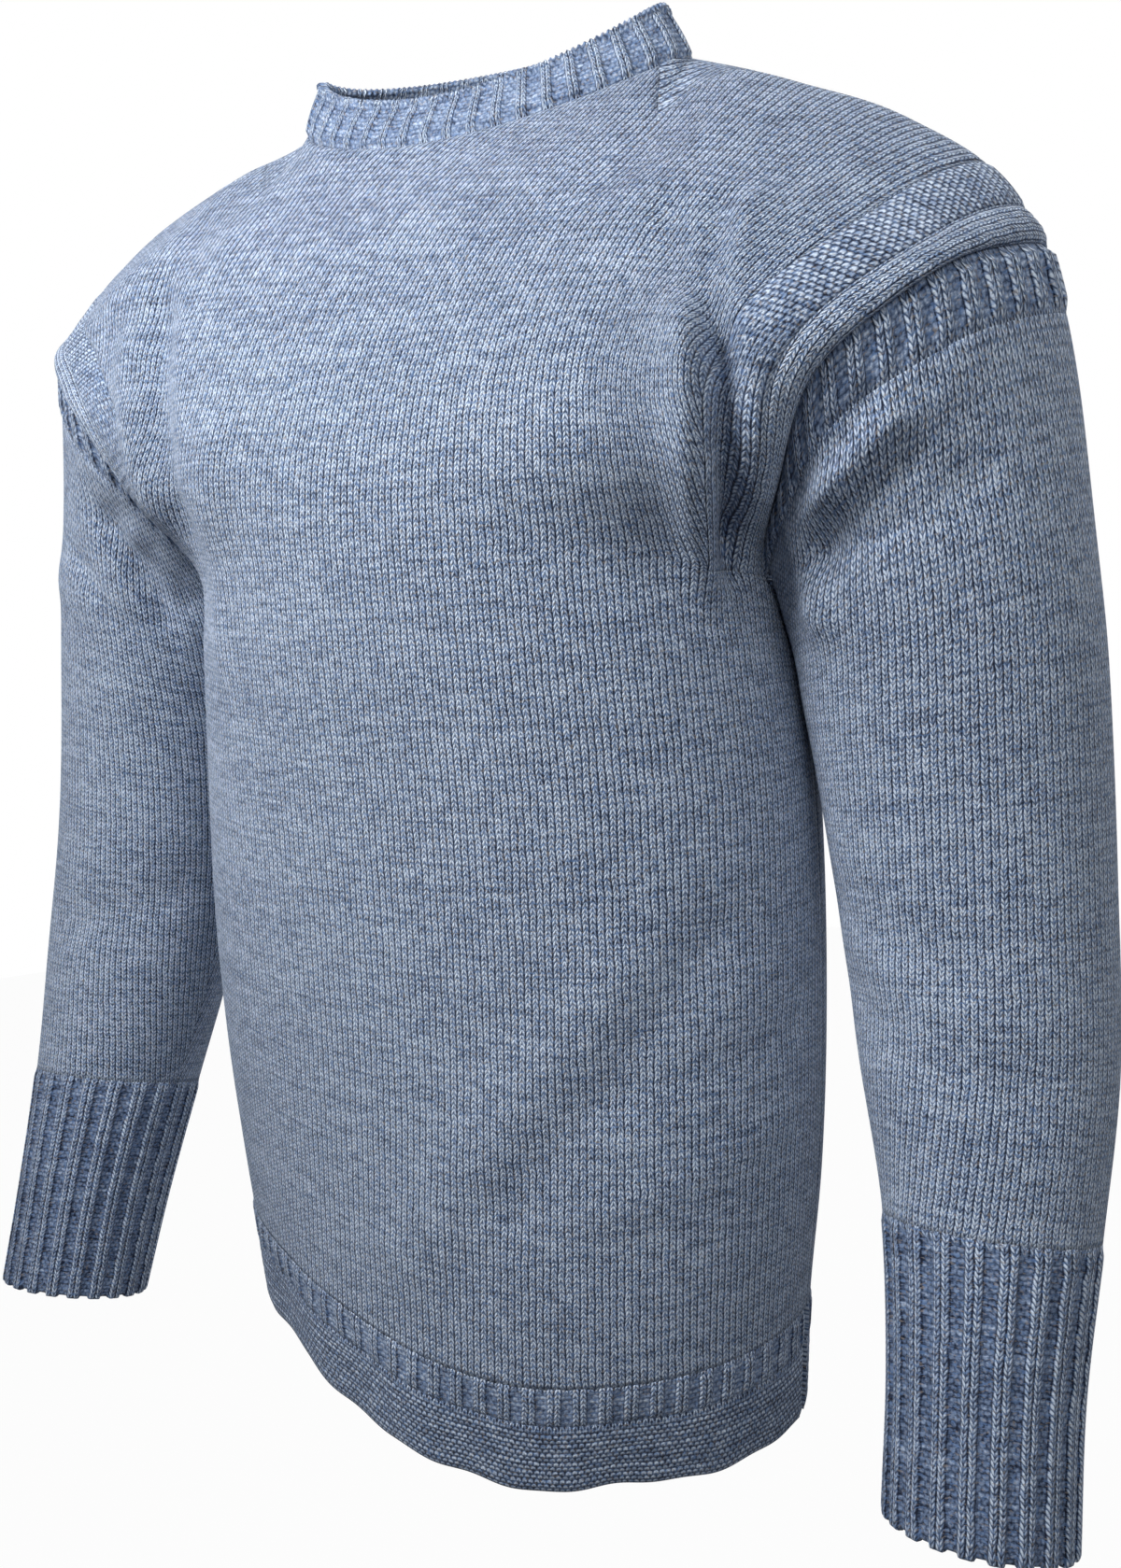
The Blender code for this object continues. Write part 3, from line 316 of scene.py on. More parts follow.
class BodyForm:
    """Worn shape of the body, by wale (0 middle, 1 armhole edge), height and side (-1 front, 1 back)."""

    normal_step = 0.004                 # how far apart the places are that a normal is worked out from
    under_wale = 0.90                   # wale from which the side runs straight into the underarm
    shoulder_blend = (-0.03, 0.14)      # wales, from the neck's corner, over which the shoulder rounds over
    blunt_tip = 0.03                    # share of the underarm diamond's half width that its lower tip keeps
    row_samples = 121                   # places along a row that a distance is measured with

    def __init__(self) -> None:
        """Works out the lines of the rows and the armhole."""
        half = {side: along_of(self.low_line(BODY_ROWS[-1], side))[-1] for side in (-1, 1)}
        self.side_wale = {side: half[side] / (half[side] - GUSSET_HALF) for side in (-1, 1)}
        self.rows = {side: self.row_points(side) for side in (-1, 1)}
        self.armhole = {side: self.armhole_half(side) for side in (-1, 1)}
        self.edge = np.concatenate([self.armhole[-1][0], self.armhole[1][0]])

    @staticmethod
    def quarter(x_side: float, y_mid: float, y_side: float, z_mid: float, z_side: float,
                square: float) -> Array:
        """Fine polyline of a quarter ring.

        Args:
            x_side: half width.
            y_mid, z_mid: place of the middle.
            y_side, z_side: place of the side.
            square: 2 for an ellipse, more for a squarer ring.

        Returns:
            Places from the middle to the side.
        """
        a = np.linspace(0.0, math.pi / 2, QUARTER_POINTS)
        s = np.sin(a) ** (2.0 / square)
        c = np.cos(a) ** (2.0 / square)
        return np.stack([x_side * s, y_side + (y_mid - y_side) * c, z_mid + (z_side - z_mid) * s**3], axis=-1)

    def low_line(self, row: Sequence[float], side: int) -> Array:
        """Quarter ring of a row below the underarm."""
        _, z_mid, z_side, x_side, y_front, y_side, y_back, square = row
        return self.quarter(x_side, y_front if side < 0 else y_back, y_side, z_mid, z_side, square)

    @staticmethod
    def neck_quarter(ring: Sequence[float], side: int, a: Array) -> Array:
        """Places on a quarter of a neck ring. a: 0 at the middle, 1 at the side."""
        half, y_side, z_side, y_front, z_front, y_back, z_back = ring
        y_mid, z_mid = (y_front, z_front) if side < 0 else (y_back, z_back)
        turn = np.asarray(a, float) * math.pi / 2
        s, c = np.sin(turn), np.cos(turn)
        rise = (z_mid - z_side) * c**1.5
        return np.stack([half * s, y_side + (y_mid - y_side) * c, z_side + rise], axis=-1)

    def yoke_top(self, w: Array, side: int) -> Array:
        """Places along the neck seam and on out along the shoulder line."""
        neck = self.neck_quarter(NECK_SEAM, side, np.clip(w / NECK_SHARE, 0, 1))
        shoulder = cubic(SHOULDER, np.clip((w - NECK_SHARE) / (1 - NECK_SHARE), 0, 1))
        return np.where((w < NECK_SHARE)[..., None], neck, shoulder)

    def row_points(self, side: int) -> List[Tuple[float, Callable[[Array], Array]]]:
        """Knots up the cloth and, for each, the function that places a wale on that row."""
        rows: List[Tuple[float, Callable[[Array], Array]]] = []
        for row in BODY_ROWS:
            line = self.low_line(row, side)
            rows.append((row[0], lambda w, line=line: evenly(line, w / self.side_wale[side])))
        for v, z_mid, y_mid, x_arm, y_arm, z_arm, square in FRONT_ROWS if side < 0 else BACK_ROWS:
            line = self.quarter(x_arm, y_mid, y_arm, z_mid, z_arm, square)
            rows.append((UNDERARM + v * YOKE, lambda w, line=line: evenly(line, np.clip(w, 0, 1))))
        rows.append((UNDERARM + YOKE, lambda w: self.yoke_top(np.clip(w, 0, 1), side)))
        return rows

    def points(self, w: Array, h: Array, side: int) -> Array:
        """Places of the +X half before folds.

        Args:
            w: wales.
            h: heights up the cloth.
            side: -1 front, 1 back.

        Returns:
            The places.
        """
        w, h = np.broadcast_arrays(np.asarray(w, float), np.asarray(h, float))
        shape = w.shape
        w, h = np.abs(w).ravel(), h.ravel()
        knots = np.array([row[0] for row in self.rows[side]])
        rows = np.array([row[1](w) for row in self.rows[side]])
        slopes = np.gradient(rows, knots, axis=0)
        arm = len(BODY_ROWS) - 1
        under = smooth(self.under_wale, 1.0, w)[:, None]
        slopes[arm] += under * ((rows[arm] - rows[arm - 1]) / (knots[arm] - knots[arm - 1]) - slopes[arm])
        highest_across = self.rows[-side][-2][1]
        over = (highest_across(w) - rows[-2]) / (2.0 * (knots[-1] - knots[-2]))
        shoulder = smooth(*(NECK_SHARE + d for d in self.shoulder_blend), w)
        slopes[-1] += shoulder[:, None] * (over - slopes[-1])
        i = np.clip(np.searchsorted(knots, h, side="left") - 1, 0, len(knots) - 2)
        n = np.arange(len(w))
        step = (knots[i + 1] - knots[i])[:, None]
        t = (h - knots[i])[:, None] / step
        places = hermite(t, step, (rows[i, n], rows[i + 1, n]), (slopes[i, n], slopes[i + 1, n]))
        return places.reshape(shape + (3,))

    def normals(self, w: Array, h: Array, side: int) -> Array:
        """Outward normals at wales w and heights h."""
        w, h = np.broadcast_arrays(np.abs(np.asarray(w, float)), np.asarray(h, float))
        e = self.normal_step
        limit = np.where(h > UNDERARM, 1.0, self.side_wale[side])
        across = self.points(np.minimum(w + e, limit), h, side) - self.points(np.maximum(w - e, 0.0), h, side)
        low = np.where(h > UNDERARM, np.maximum(h - e, UNDERARM), np.maximum(h - e, 0.0))
        high = np.where(h > UNDERARM, np.minimum(h + e, UNDERARM + YOKE), np.minimum(h + e, UNDERARM))
        upward = self.points(w, high, side) - self.points(w, low, side)
        return unit(np.cross(across, upward)) * -side

    def both(self, w: float, h: float, side: int) -> Arrays:
        """Place and normal at one wale and height."""
        wale = np.array([w])
        return self.points(wale, h, side)[0], self.normals(wale, h, side)[0]

    def armhole_half(self, side: int) -> Tuple[Array, Array, Array, Array]:
        """Half the armhole from the top down to the side line: points, wales, heights and shares."""
        beyond = np.linspace(1, self.side_wale[side], UNDER_POINTS)[1:]
        h = np.concatenate([UNDERARM + YOKE * np.linspace(1, 0, ARM_POINTS), np.full(len(beyond), UNDERARM)])
        w = np.concatenate([np.ones(ARM_POINTS), beyond])
        points = self.points(w, h, side)
        return points, w, h, along_of(points) / along_of(points)[-1]

    def wale_inside(self, h: Array, side: int, distance: float) -> Array:
        """Wale that lies some way in from the armhole's edge.

        Args:
            h: heights up the cloth.
            side: -1 front, 1 back.
            distance: how far in, along the row.

        Returns:
            A wale for each height.
        """
        w = np.linspace(0, 1, self.row_samples)
        levels = np.atleast_1d(h)
        lines = self.points(np.tile(w, (len(levels), 1)), levels[:, None], side)
        found = []
        for line in lines:
            along = along_of(line)
            found.append(float(np.interp(along[-1] - distance, along, w)))
        return np.array(found)

    def underarm_reach(self, h: Array, side: int) -> Array:
        """Wale at which the underarm gusset starts, at a height below the underarm row."""
        full = self.side_wale[side]
        up = np.clip((np.asarray(h, float) - UNDERARM + GUSSET_DEEP) / GUSSET_DEEP, 0, 1)
        return full - (full - 1.0) * (self.blunt_tip + (1 - self.blunt_tip) * up)


class SleeveForm:
    """Worn shape of a sleeve. turn: 0 outer top, a quarter the front, a half the underside; s: way down."""

    step_down = 0.002       # how far apart the places are that a normal is worked out from, down
    step_round = 0.03       # and round
    mitre_end = 0.006       # way down at which the seam's mitre has gone
    seam_side = 0.004       # way down at which the sleeve's own side of the seam is read
    least_lean = 0.6        # keeps a sharp mitre from running far out
    tip_turn = 0.01         # turn that the gusset still takes at its point

    def __init__(self, body: BodyForm) -> None:
        """Takes the armhole from the body and works out the mitre at its seam."""
        self.body = body
        corner = ARM_POINTS - 1
        self.fold_turn = {side: math.pi * (1 - body.armhole[side][3][corner]) for side in (-1, 1)}
        self.way_in = self.seam_mitre()

    def by_turn(self, turn: Array, rows: Dict[int, Array]) -> Array:
        """Reads places or ways along the armhole, given for both sides, at a turn."""
        a = np.mod(turn, 2 * math.pi) / math.pi
        columns = []
        for i in range(3):
            front = np.interp(a, self.body.armhole[-1][3], rows[-1][:, i])
            back = np.interp(2 - a, self.body.armhole[1][3], rows[1][:, i])
            columns.append(np.where(a <= 1, front, back))
        return np.stack(columns, axis=-1)

    def armhole(self, turn: Array) -> Array:
        """Places on the armhole."""
        return self.by_turn(turn, {side: self.body.armhole[side][0] for side in (-1, 1)})

    @staticmethod
    def clear_of_body(points: Array, s: Array) -> Array:
        """Presses a sleeve that hangs beside the body flat, just clear of it."""
        p = np.array(points, float)
        z = np.clip(p[..., 2], BODY_ROWS[0][1], BODY_ROWS[-1][2])
        heights = np.interp(z, [row[2] for row in BODY_ROWS], [row[0] for row in BODY_ROWS])
        rows = cubic(BODY_ROWS, heights)
        depth = np.where(p[..., 1] < 0, -rows[..., 3], rows[..., 5])
        share = np.clip(np.abs(p[..., 1]) / depth, 0, 1)
        beside = rows[..., 2] * (1 - share ** rows[..., 6]) ** (1 / rows[..., 6])
        beside += np.minimum(SLEEVE_CLEAR, LEAST_CLEAR + CLEAR_GROWS * s)
        p[..., 0] = np.where(p[..., 2] < BODY_ROWS[-1][2], np.maximum(p[..., 0], beside), p[..., 0])
        return p

    @staticmethod
    def ring(turn: Array, s: Array) -> Array:
        """Plain tilted ellipses down the +X sleeve."""
        turn, s = np.broadcast_arrays(np.asarray(turn, float), np.asarray(s, float))
        cx, cy, cz, rx, ry, tilt, swing = np.moveaxis(cubic(SLEEVE_ROWS, s), -1, 0)
        tilt, swing = np.radians(tilt), np.radians(swing)
        side = rx * np.cos(turn)
        fore = ry * np.sin(turn)
        ring = np.stack([cx + side * np.cos(tilt), cy - fore * np.cos(swing), cz], axis=-1)
        ring[..., 2] += side * np.sin(tilt) + fore * np.sin(swing)
        return ring

    def points(self, turn: Array, s: Array) -> Array:
        """Places of the +X sleeve before folds."""
        turn, s = np.broadcast_arrays(np.asarray(turn, float), np.asarray(s, float))
        share = 1.0 - smooth(0.0, SLEEVE_BLEND, s)[..., None]
        carried = (self.armhole(turn) - self.ring(turn, 0.0 * s)) * share
        return self.clear_of_body(self.ring(turn, s) + carried, s)

    def plain_normals(self, turn: Array, s: Array) -> Array:
        """Outward normals of the tube itself."""
        turn, s = np.broadcast_arrays(np.asarray(turn, float), np.asarray(s, float))
        e, a = self.step_down, self.step_round
        around = self.points(turn + a, s) - self.points(turn - a, s)
        down = self.points(turn, np.minimum(s + e, CUFF_END)) - self.points(turn, np.maximum(s - e, 0))
        return unit(np.cross(around, down))

    @staticmethod
    def turn_at(share: Array, side: int) -> Array:
        """Turn at a share of the way down the front or back half of the armhole."""
        return math.pi * share if side < 0 else 2 * math.pi - math.pi * share

    def seam_mitre(self) -> Dict[int, Array]:
        """Way into the wall at the armhole, shared by the body's side and the sleeve's side of it."""
        found = {}
        for side in (-1, 1):
            _, w, h, share = self.body.armhole[side]
            turn = self.turn_at(share, side)
            on_body = self.body.normals(w, h, side)
            on_sleeve = self.plain_normals(turn, np.full(len(turn), self.seam_side))
            both = unit(on_body + on_sleeve)
            lean = np.maximum((both * on_body).sum(-1), self.least_lean)
            found[side] = both / lean[:, None]
        return found

    def mitre(self, turn: Array) -> Array:
        """Way into the wall at a turn of the armhole."""
        return self.by_turn(turn, self.way_in)

    def normals(self, turn: Array, s: Array) -> Array:
        """Outward normals, mitred at the armhole."""
        blend = smooth(0.0, self.mitre_end, s)[..., None]
        return self.mitre(turn) * (1 - blend) + self.plain_normals(turn, s) * blend

    def turn_of(self, h: Array, side: int) -> Array:
        """Turn round the armhole of its edge's point at this height up the yoke."""
        hole = self.body.armhole[side]
        share = np.interp(-np.asarray(h, float), -hole[2][:ARM_POINTS], hole[3][:ARM_POINTS])
        return self.turn_at(share, side)

    def limit(self, s: float) -> Dict[int, float]:
        """Half of the turn that the underarm gusset takes at this way down the sleeve."""
        down = min(max(s / GUSSET_SLEEVE, 0.0), 1.0)
        return {side: self.fold_turn[side] * (1 - down) + self.tip_turn * down for side in (-1, 1)}


BODY = BodyForm()
SLEEVE = SleeveForm(BODY)


@dataclass(frozen=True)
class FoldField:
    """All the creases of the worn garment, as soft troughs and ridges."""

    far: float = 1.0
    fade_in: Pair = (-0.05, 0.30)    # shares of a long crease over which it sets in
    fade_out: Pair = (0.85, 1.10)    # and dies out
    ripple: float = 0.0016                          # height of the hem's waves
    ripple_x: float = 85.0                          # how fast they follow one another across
    ripple_y: float = 9.0                           # and fore and aft
    ripple_levels: Pair = (-0.640, -0.700)
    edge: float = 0.012                             # creases die out this far from the armhole
    at_once: int = 20000                            # places measured together

    @staticmethod
    def from_line(points: Array, start: Array, run: Array) -> Arrays:
        """Share of the way along a straight line that each place is beside, and how far away it is."""
        t = np.clip((points - start) @ run / (run @ run), 0, 1)
        return t, np.linalg.norm(points - start - t[..., None] * run, axis=-1)

    def beside(self, points: Array, path: Array, width: float) -> Array:
        """1 on a path and 0 away from it, fading out towards both of its ends.

        Args:
            points: places on the cloth.
            path: places that the crease runs through.
            width: how soon it fades out sideways.

        Returns:
            A share for each place.
        """
        along = along_of(path)
        least = np.full(points.shape[:-1], self.far)
        share = np.zeros(points.shape[:-1])
        for i in range(len(path) - 1):
            t, away = self.from_line(points, path[i], path[i + 1] - path[i])
            nearer = away < least
            least = np.where(nearer, away, least)
            share = np.where(nearer, (along[i] + t * (along[i + 1] - along[i])) / along[-1], share)
        ends = smooth(*self.fade_in, share) * (1 - smooth(*self.fade_out, share))
        return np.exp(-((least / width) ** 2)) * ends

    def depth(self, points: Array, part: str) -> Array:
        """How far the creases move the cloth out, or in.

        Args:
            points: places on the cloth.
            part: "body" or "sleeve".

        Returns:
            A distance for each place.
        """
        moved = np.zeros(points.shape[:-1])
        for x0, y0, z0, x1, y1, z1, width, depth, where in FOLDS:
            if where == part:
                start = np.array([x0, y0, z0])
                away = self.from_line(points, start, np.array([x1, y1, z1]) - start)[1]
                moved += depth * np.exp(-((away / width) ** 2))
        for where, width, depth, path in CREASES:
            if where == part:
                moved += depth * self.beside(points, np.array(path), width)
        if part == "body":
            wave = np.sin(self.ripple_x * points[..., 0] + self.ripple_y * np.abs(points[..., 1]))
            moved += self.ripple * wave * smooth(*self.ripple_levels, points[..., 2])
        plus = points * np.where(points[..., :1] < 0, [-1.0, 1.0, 1.0], 1.0)
        flat = plus.reshape(-1, 3)
        away = np.empty(len(flat))
        for i in range(0, len(flat), self.at_once):
            gap = flat[i:i + self.at_once, None, :] - BODY.edge
            away[i:i + self.at_once] = np.sqrt((gap**2).sum(-1).min(-1))
        return moved * smooth(0.0, self.edge, away.reshape(moved.shape))


CREASED = FoldField()


class Stitch(Enum):
    """How a wool is knitted up."""

    PLAIN = "plain"
    RIB = "rib"
    GARTER = "garter"


def add(tree: bpy.types.NodeTree, kind: str, inputs: Dict[object, object], **settings: str) -> bpy.types.Node:
    """Adds a shader node.

    Args:
        tree: the nodes that it joins.
        kind: its type.
        inputs: by name or number, a constant or the socket that it is linked to.
        settings: its own settings.

    Returns:
        The node.
    """
    node = tree.nodes.new(f"ShaderNode{kind}")
    for name, value in settings.items():
        setattr(node, name, value)
    for key, value in inputs.items():
        if isinstance(value, bpy.types.NodeSocket):
            tree.links.new(value, node.inputs[key])
        else:
            node.inputs[key].default_value = value
    return node


class Wire:
    """A number running through a material's nodes, written like arithmetic."""

    def __init__(self, tree: bpy.types.NodeTree, socket: bpy.types.NodeSocket) -> None:
        """Holds the socket that the number comes from."""
        self.tree = tree
        self.socket = socket

    def maths(self, operation: str, *others: "float | Wire") -> "Wire":
        """The result of a maths node on this number and others."""
        values = (value.socket if isinstance(value, Wire) else value for value in (self, *others))
        node = add(self.tree, "Math", dict(enumerate(values)), operation=operation)
        return Wire(self.tree, node.outputs[0])

    def __add__(self, other: "float | Wire") -> "Wire":
        """Sum."""
        return self.maths("ADD", other)

    def __sub__(self, other: "float | Wire") -> "Wire":
        """Difference."""
        return self.maths("SUBTRACT", other)

    def __mul__(self, other: "float | Wire") -> "Wire":
        """Product."""
        return self.maths("MULTIPLY", other)

    def __pow__(self, other: "float | Wire") -> "Wire":
        """Power."""
        return self.maths("POWER", other)

    def less_from(self, other: float) -> "Wire":
        """What is left of a number when this is taken away."""
        return (self * -1.0) + other

    def fract(self) -> "Wire":
        """The part after the point."""
        return self.maths("FRACT")

    def floor(self) -> "Wire":
        """The whole number below."""
        return self.maths("FLOOR")

    def size(self) -> "Wire":
        """The number without its sign."""
        return self.maths("ABSOLUTE")

    def hump(self) -> "Wire":
        """0 at both ends of the unit and 1 at its middle."""
        off = (self * 2.0) - 1.0
        return (off * off).less_from(1.0)

    def step(self, low: float, high: float, out_low: float = 0.0, out_high: float = 1.0) -> "Wire":
        """Soft step.

        Args:
            low, high: where it starts and ends.
            out_low, out_high: what it gives there.

        Returns:
            The number between them.
        """
        inputs = dict(zip(("From Min", "From Max", "To Min", "To Max"), (low, high, out_low, out_high)))
        inputs["Value"] = self.socket
        return Wire(self.tree, add(self.tree, "MapRange", inputs, interpolation_type="SMOOTHSTEP").outputs[0])

    def mixed(self, a: "Wire", b: "Wire") -> "Wire":
        """a where this is 0 and b where it is 1."""
        return a + (b - a) * self


@dataclass(frozen=True)
class Wool:
    """Heathered blue wool, in one way of knitting it. Noises: cells across and up a stitch, detail, seed."""

    name: str
    stitch: Stitch
    # dark is painted shade: it darkens a whole copy of the wool, for its deeper hollows and, on the cuff and
    # the welt, for lying low where less light falls.
    dark: float = 0.0       # how much darker than the plain knitting
    share: float = 0.58     # of a rib's repeat that is knit
    # valley and in_rib also set how dark the purl between the ribs is painted: painted shade in the valleys.
    valley: float = 0.24    # height of the purl between the ribs
    deep: float = 0.0012    # how deep the stitches look
    # The ramp colours each stitch by its height: gap is painted shade in the hollows between stitches, shade
    # a painted half shade, yarn the wool's own blue and crest a painted highlight on the stitches' tops.
    gap: Triple = (0.0080, 0.0120, 0.0310)
    shade: Triple = (0.0670, 0.1035, 0.1900)
    yarn: Triple = (0.2360, 0.3180, 0.4800)
    painted_crest_highlight: Triple = (0.7300, 0.8250, 0.9600)
    shade_place: float = 0.26
    yarn_place: float = 0.60
    flecks: Tuple[Tuple[Triple, float, float, float, float, float], ...] = (
        # colour                   across up   seed  least most
        ((0.0400, 0.0700, 0.1750), 1.9, 2.6, 31.0, 0.64, 0.55),
        ((0.3600, 0.3100, 0.2700), 1.5, 2.2, 47.0, 0.58, 0.52),
        ((0.1400, 0.2600, 0.5200), 1.1, 1.8, 59.0, 0.56, 0.50),
    )
    fleck_edge: float = 0.09
    heather: Tuple[Tuple[float, float, float, float, float], ...] = (
        # across up   detail seed  strength
        (0.075, 0.80, 2.0, 3.7, 0.32),
        (0.55, 1.1, 2.0, 11.3, 0.80),
        (2.4, 2.6, 2.0, 21.9, 0.60),
    )
    broad: Four = (0.020, 0.10, 2.0, 7.1)
    broad_strength: float = 0.16
    # How far the tone follows the stitch's height: painted shade low down and painted highlight high up.
    painted_light_of_height: float = 0.82
    contrast: float = 1.38
    lowered: float = 0.080
    climb: float = 1.1          # how far the legs of a stitch climb
    rounded: float = 0.8        # how full a stitch is
    knit_span: Pair = (0.78, 0.22)
    split: Four = (0.0, 0.30, 0.55, 1.0)       # groove between the legs
    beside: Four = (0.62, 1.0, 1.0, 0.0)       # and beside them
    # twist also paints one leg of each stitch lighter than the other: a painted highlight, as if lit from one
    # side.
    twist: Pair = (-0.45, 1.18)      # one leg stands higher than the other
    # the channel's deeper groove is also painted darker: painted shade.
    channel: Pair = (0.40, 1.0)      # deeper groove where the yoke's wales crowd
    arch: float = 0.55          # how far a purl hump curves
    purl_ends: Four = (0.24, 0.50, 1.0, 0.30)
    purl_span: Pair = (0.85, 0.08)
    in_rib: float = 0.42        # how much of the purl shows between the ribs
    rib_edge: float = 0.03
    sway: Four = (0.30, 0.30, 1.0, 1.0)
    lift: Four = (0.7, 0.4, 1.0, 5.0)
    uneven: float = 0.45
    noise_rough: float = 0.6
    fuzz: Four = (6.0, 6.0, 2.0, 13.0)
    fuzz_high: float = 0.35
    bump: float = 0.70
    finish: Tuple[Tuple[str, object], ...] = (
        ("Roughness", 0.88), ("Specular IOR Level", 0.18), ("Sheen Weight", 0.30),
        ("Sheen Roughness", 0.55), ("Sheen Tint", (0.72, 0.82, 1.0, 1)),
    )

    def noise(self, u: Wire, v: Wire, across: float, up: float, detail: float, seed: float) -> Wire:
        """Noise on the stitches.

        Args:
            u, v: wales and courses.
            across, up: how many cells to a stitch.
            detail: how many finer layers.
            seed: sets it apart from the others.

        Returns:
            A number from 0 to 1.
        """
        place = add(u.tree, "CombineXYZ", {0: (u * across).socket, 1: (v * up).socket, 2: seed})
        inputs = {"Vector": place.outputs[0], "Scale": 1.0, "Detail": detail, "Roughness": self.noise_rough}
        return Wire(u.tree, add(u.tree, "TexNoise", inputs).outputs["Fac"])

    def knit(self, u: Wire, v: Wire) -> Wire:
        """Height of plain knitting: two legs to a stitch, meeting at the top."""
        across = ((u.fract() - 0.5).size()) * 2.0
        up = (v + across * self.climb).fract()
        legs = across.step(*self.split) * across.step(*self.beside)
        high = (up.hump() ** self.rounded) * self.knit_span[0] + self.knit_span[1]
        return high * legs * ((u.fract() * self.twist[0]) + self.twist[1])

    def purl(self, u: Wire, v: Wire) -> Wire:
        """Height of purl knitting: short humps in rows, each row half a stitch on from the last."""
        row = v.floor()
        shifted = (u + row * 0.5).fract()
        arc = (shifted - 0.5).size()
        up = (v + arc * self.arch).fract()
        high = (up.hump() ** self.rounded) * (arc.step(*self.purl_ends))
        return high * self.purl_span[0] + self.purl_span[1]

    @staticmethod
    def clear(tree: bpy.types.NodeTree) -> Wire:
        """How clearly the ribs or the ridges show, from the mesh."""
        return Wire(tree, add(tree, "Attribute", {}, attribute_name="clear").outputs["Fac"])

    def height(self, u: Wire, v: Wire) -> Wire:
        """Height of this knitting, for the bump and for the colour's painted shade and highlight."""
        if self.stitch is Stitch.PLAIN:
            channel = (((u.fract() - 0.5).size()) * 2.0).step(*self.channel)
            return self.knit(u, v) * (channel * (self.clear(u.tree) - 1.0)).less_from(1.0)
        if self.stitch is Stitch.RIB:
            turn = (u * (1 / RIB_COUNT)).fract()
            low = turn.step(self.share - self.rib_edge, self.share + self.rib_edge) * self.clear(u.tree)
            purl = self.purl(u, v) * self.in_rib + self.valley
            return low.mixed(self.knit(turn * (2.0 / self.share), v), purl)
        return self.clear(u.tree).mixed(self.knit(u, v), self.purl(u, v))

    def colour(self, tree: bpy.types.NodeTree, height: Wire, u: Wire, v: Wire) -> bpy.types.NodeSocket:
        """Colour of the yarn, with painted shade in the stitches' hollows and a painted highlight on their
        crests.

        Args:
            tree: the material's nodes.
            height: height of the stitch.
            u, v: wales and courses.

        Returns:
            The socket with the colour.
        """
        # Painted shade and highlight: the tone follows the stitch's height, dark in its hollows and light on
        # its crests.
        tone = height * self.painted_light_of_height
        for *cells, strength in self.heather:
            tone = tone + (self.noise(u, v, *cells) - 0.5) * strength
        broad = (self.noise(u, v, *self.broad) - 0.5) * self.broad_strength
        tone = tone * self.contrast + broad - (self.lowered + self.dark)
        ramp = add(tree, "ValToRGB", {0: tone.socket})
        stops = ramp.color_ramp.elements
        stops[0].position, stops[0].color = 0.0, (*self.gap, 1)
        stops[1].position, stops[1].color = 1.0, (*self.painted_crest_highlight, 1)
        for place, colour in ((self.shade_place, self.shade), (self.yarn_place, self.yarn)):
            stop = stops.new(place)
            stop.color = (*colour, 1)
        found = ramp.outputs[0]
        for colour, across, up, seed, least, most in self.flecks:
            mask = self.noise(u, v, across, up, 1.0, seed).step(least, least + self.fleck_edge, 0.0, most)
            mix = add(tree, "Mix", {0: mask.socket, 6: found, 7: (*colour, 1)}, data_type="RGBA")
            found = mix.outputs[2]
        return found

    def make(self) -> bpy.types.Material:
        """The material."""
        made = bpy.data.materials.new(self.name)
        made.use_nodes = True
        tree = made.node_tree
        shader = tree.nodes["Principled BSDF"]
        chart = add(tree, "UVMap", {}, uv_map="stitches")
        parts = add(tree, "SeparateXYZ", {0: chart.outputs[0]})
        u, v = Wire(tree, parts.outputs[0]), Wire(tree, parts.outputs[1])
        u_worn = u + (self.noise(u, v, *self.sway) - 0.5) * self.uneven
        v_worn = v + (self.noise(u, v, *self.lift) - 0.5) * self.uneven
        height = self.height(u_worn, v_worn)
        tree.links.new(self.colour(tree, height, u_worn, v_worn), shader.inputs["Base Color"])
        rough = height + self.noise(u, v, *self.fuzz) * self.fuzz_high
        bump = add(tree, "Bump", {"Strength": self.bump, "Distance": self.deep, "Height": rough.socket})
        tree.links.new(bump.outputs[0], shader.inputs["Normal"])
        for socket, value in self.finish:
            shader.inputs[socket].default_value = value
        return made


PLAIN = Wool("plain_wool", Stitch.PLAIN)
# The darker copies below hold painted shade; rib_wool on the cuffs and welt_wool at the hem are darkest.
RIB = Wool("rib_wool", Stitch.RIB, dark=0.11)
NECK_RIB = Wool("neck_rib_wool", Stitch.RIB, dark=0.05, share=0.44, valley=0.31)
HEAD_RIB_WOOL = Wool("head_rib_wool", Stitch.RIB, dark=0.06, valley=0.32)
HEM_RIB_WOOL = Wool("hem_rib_wool", Stitch.RIB, dark=0.06, valley=0.34)
GARTER = Wool("garter_wool", Stitch.GARTER, dark=0.07, deep=0.0014)
WELTED = Wool("welt_wool", Stitch.GARTER, dark=0.13, deep=0.0014)
MADE: Dict[str, bpy.types.Material] = {}


@dataclass
class Cloth:
    """Grids of one piece: the outer and inner places, and the stitches at each corner."""

    outer: Array
    inner: Array
    u: Array
    v: Array
    cells: Optional[Array] = None
    ring: bool = False
    clear: Optional[Array] = None


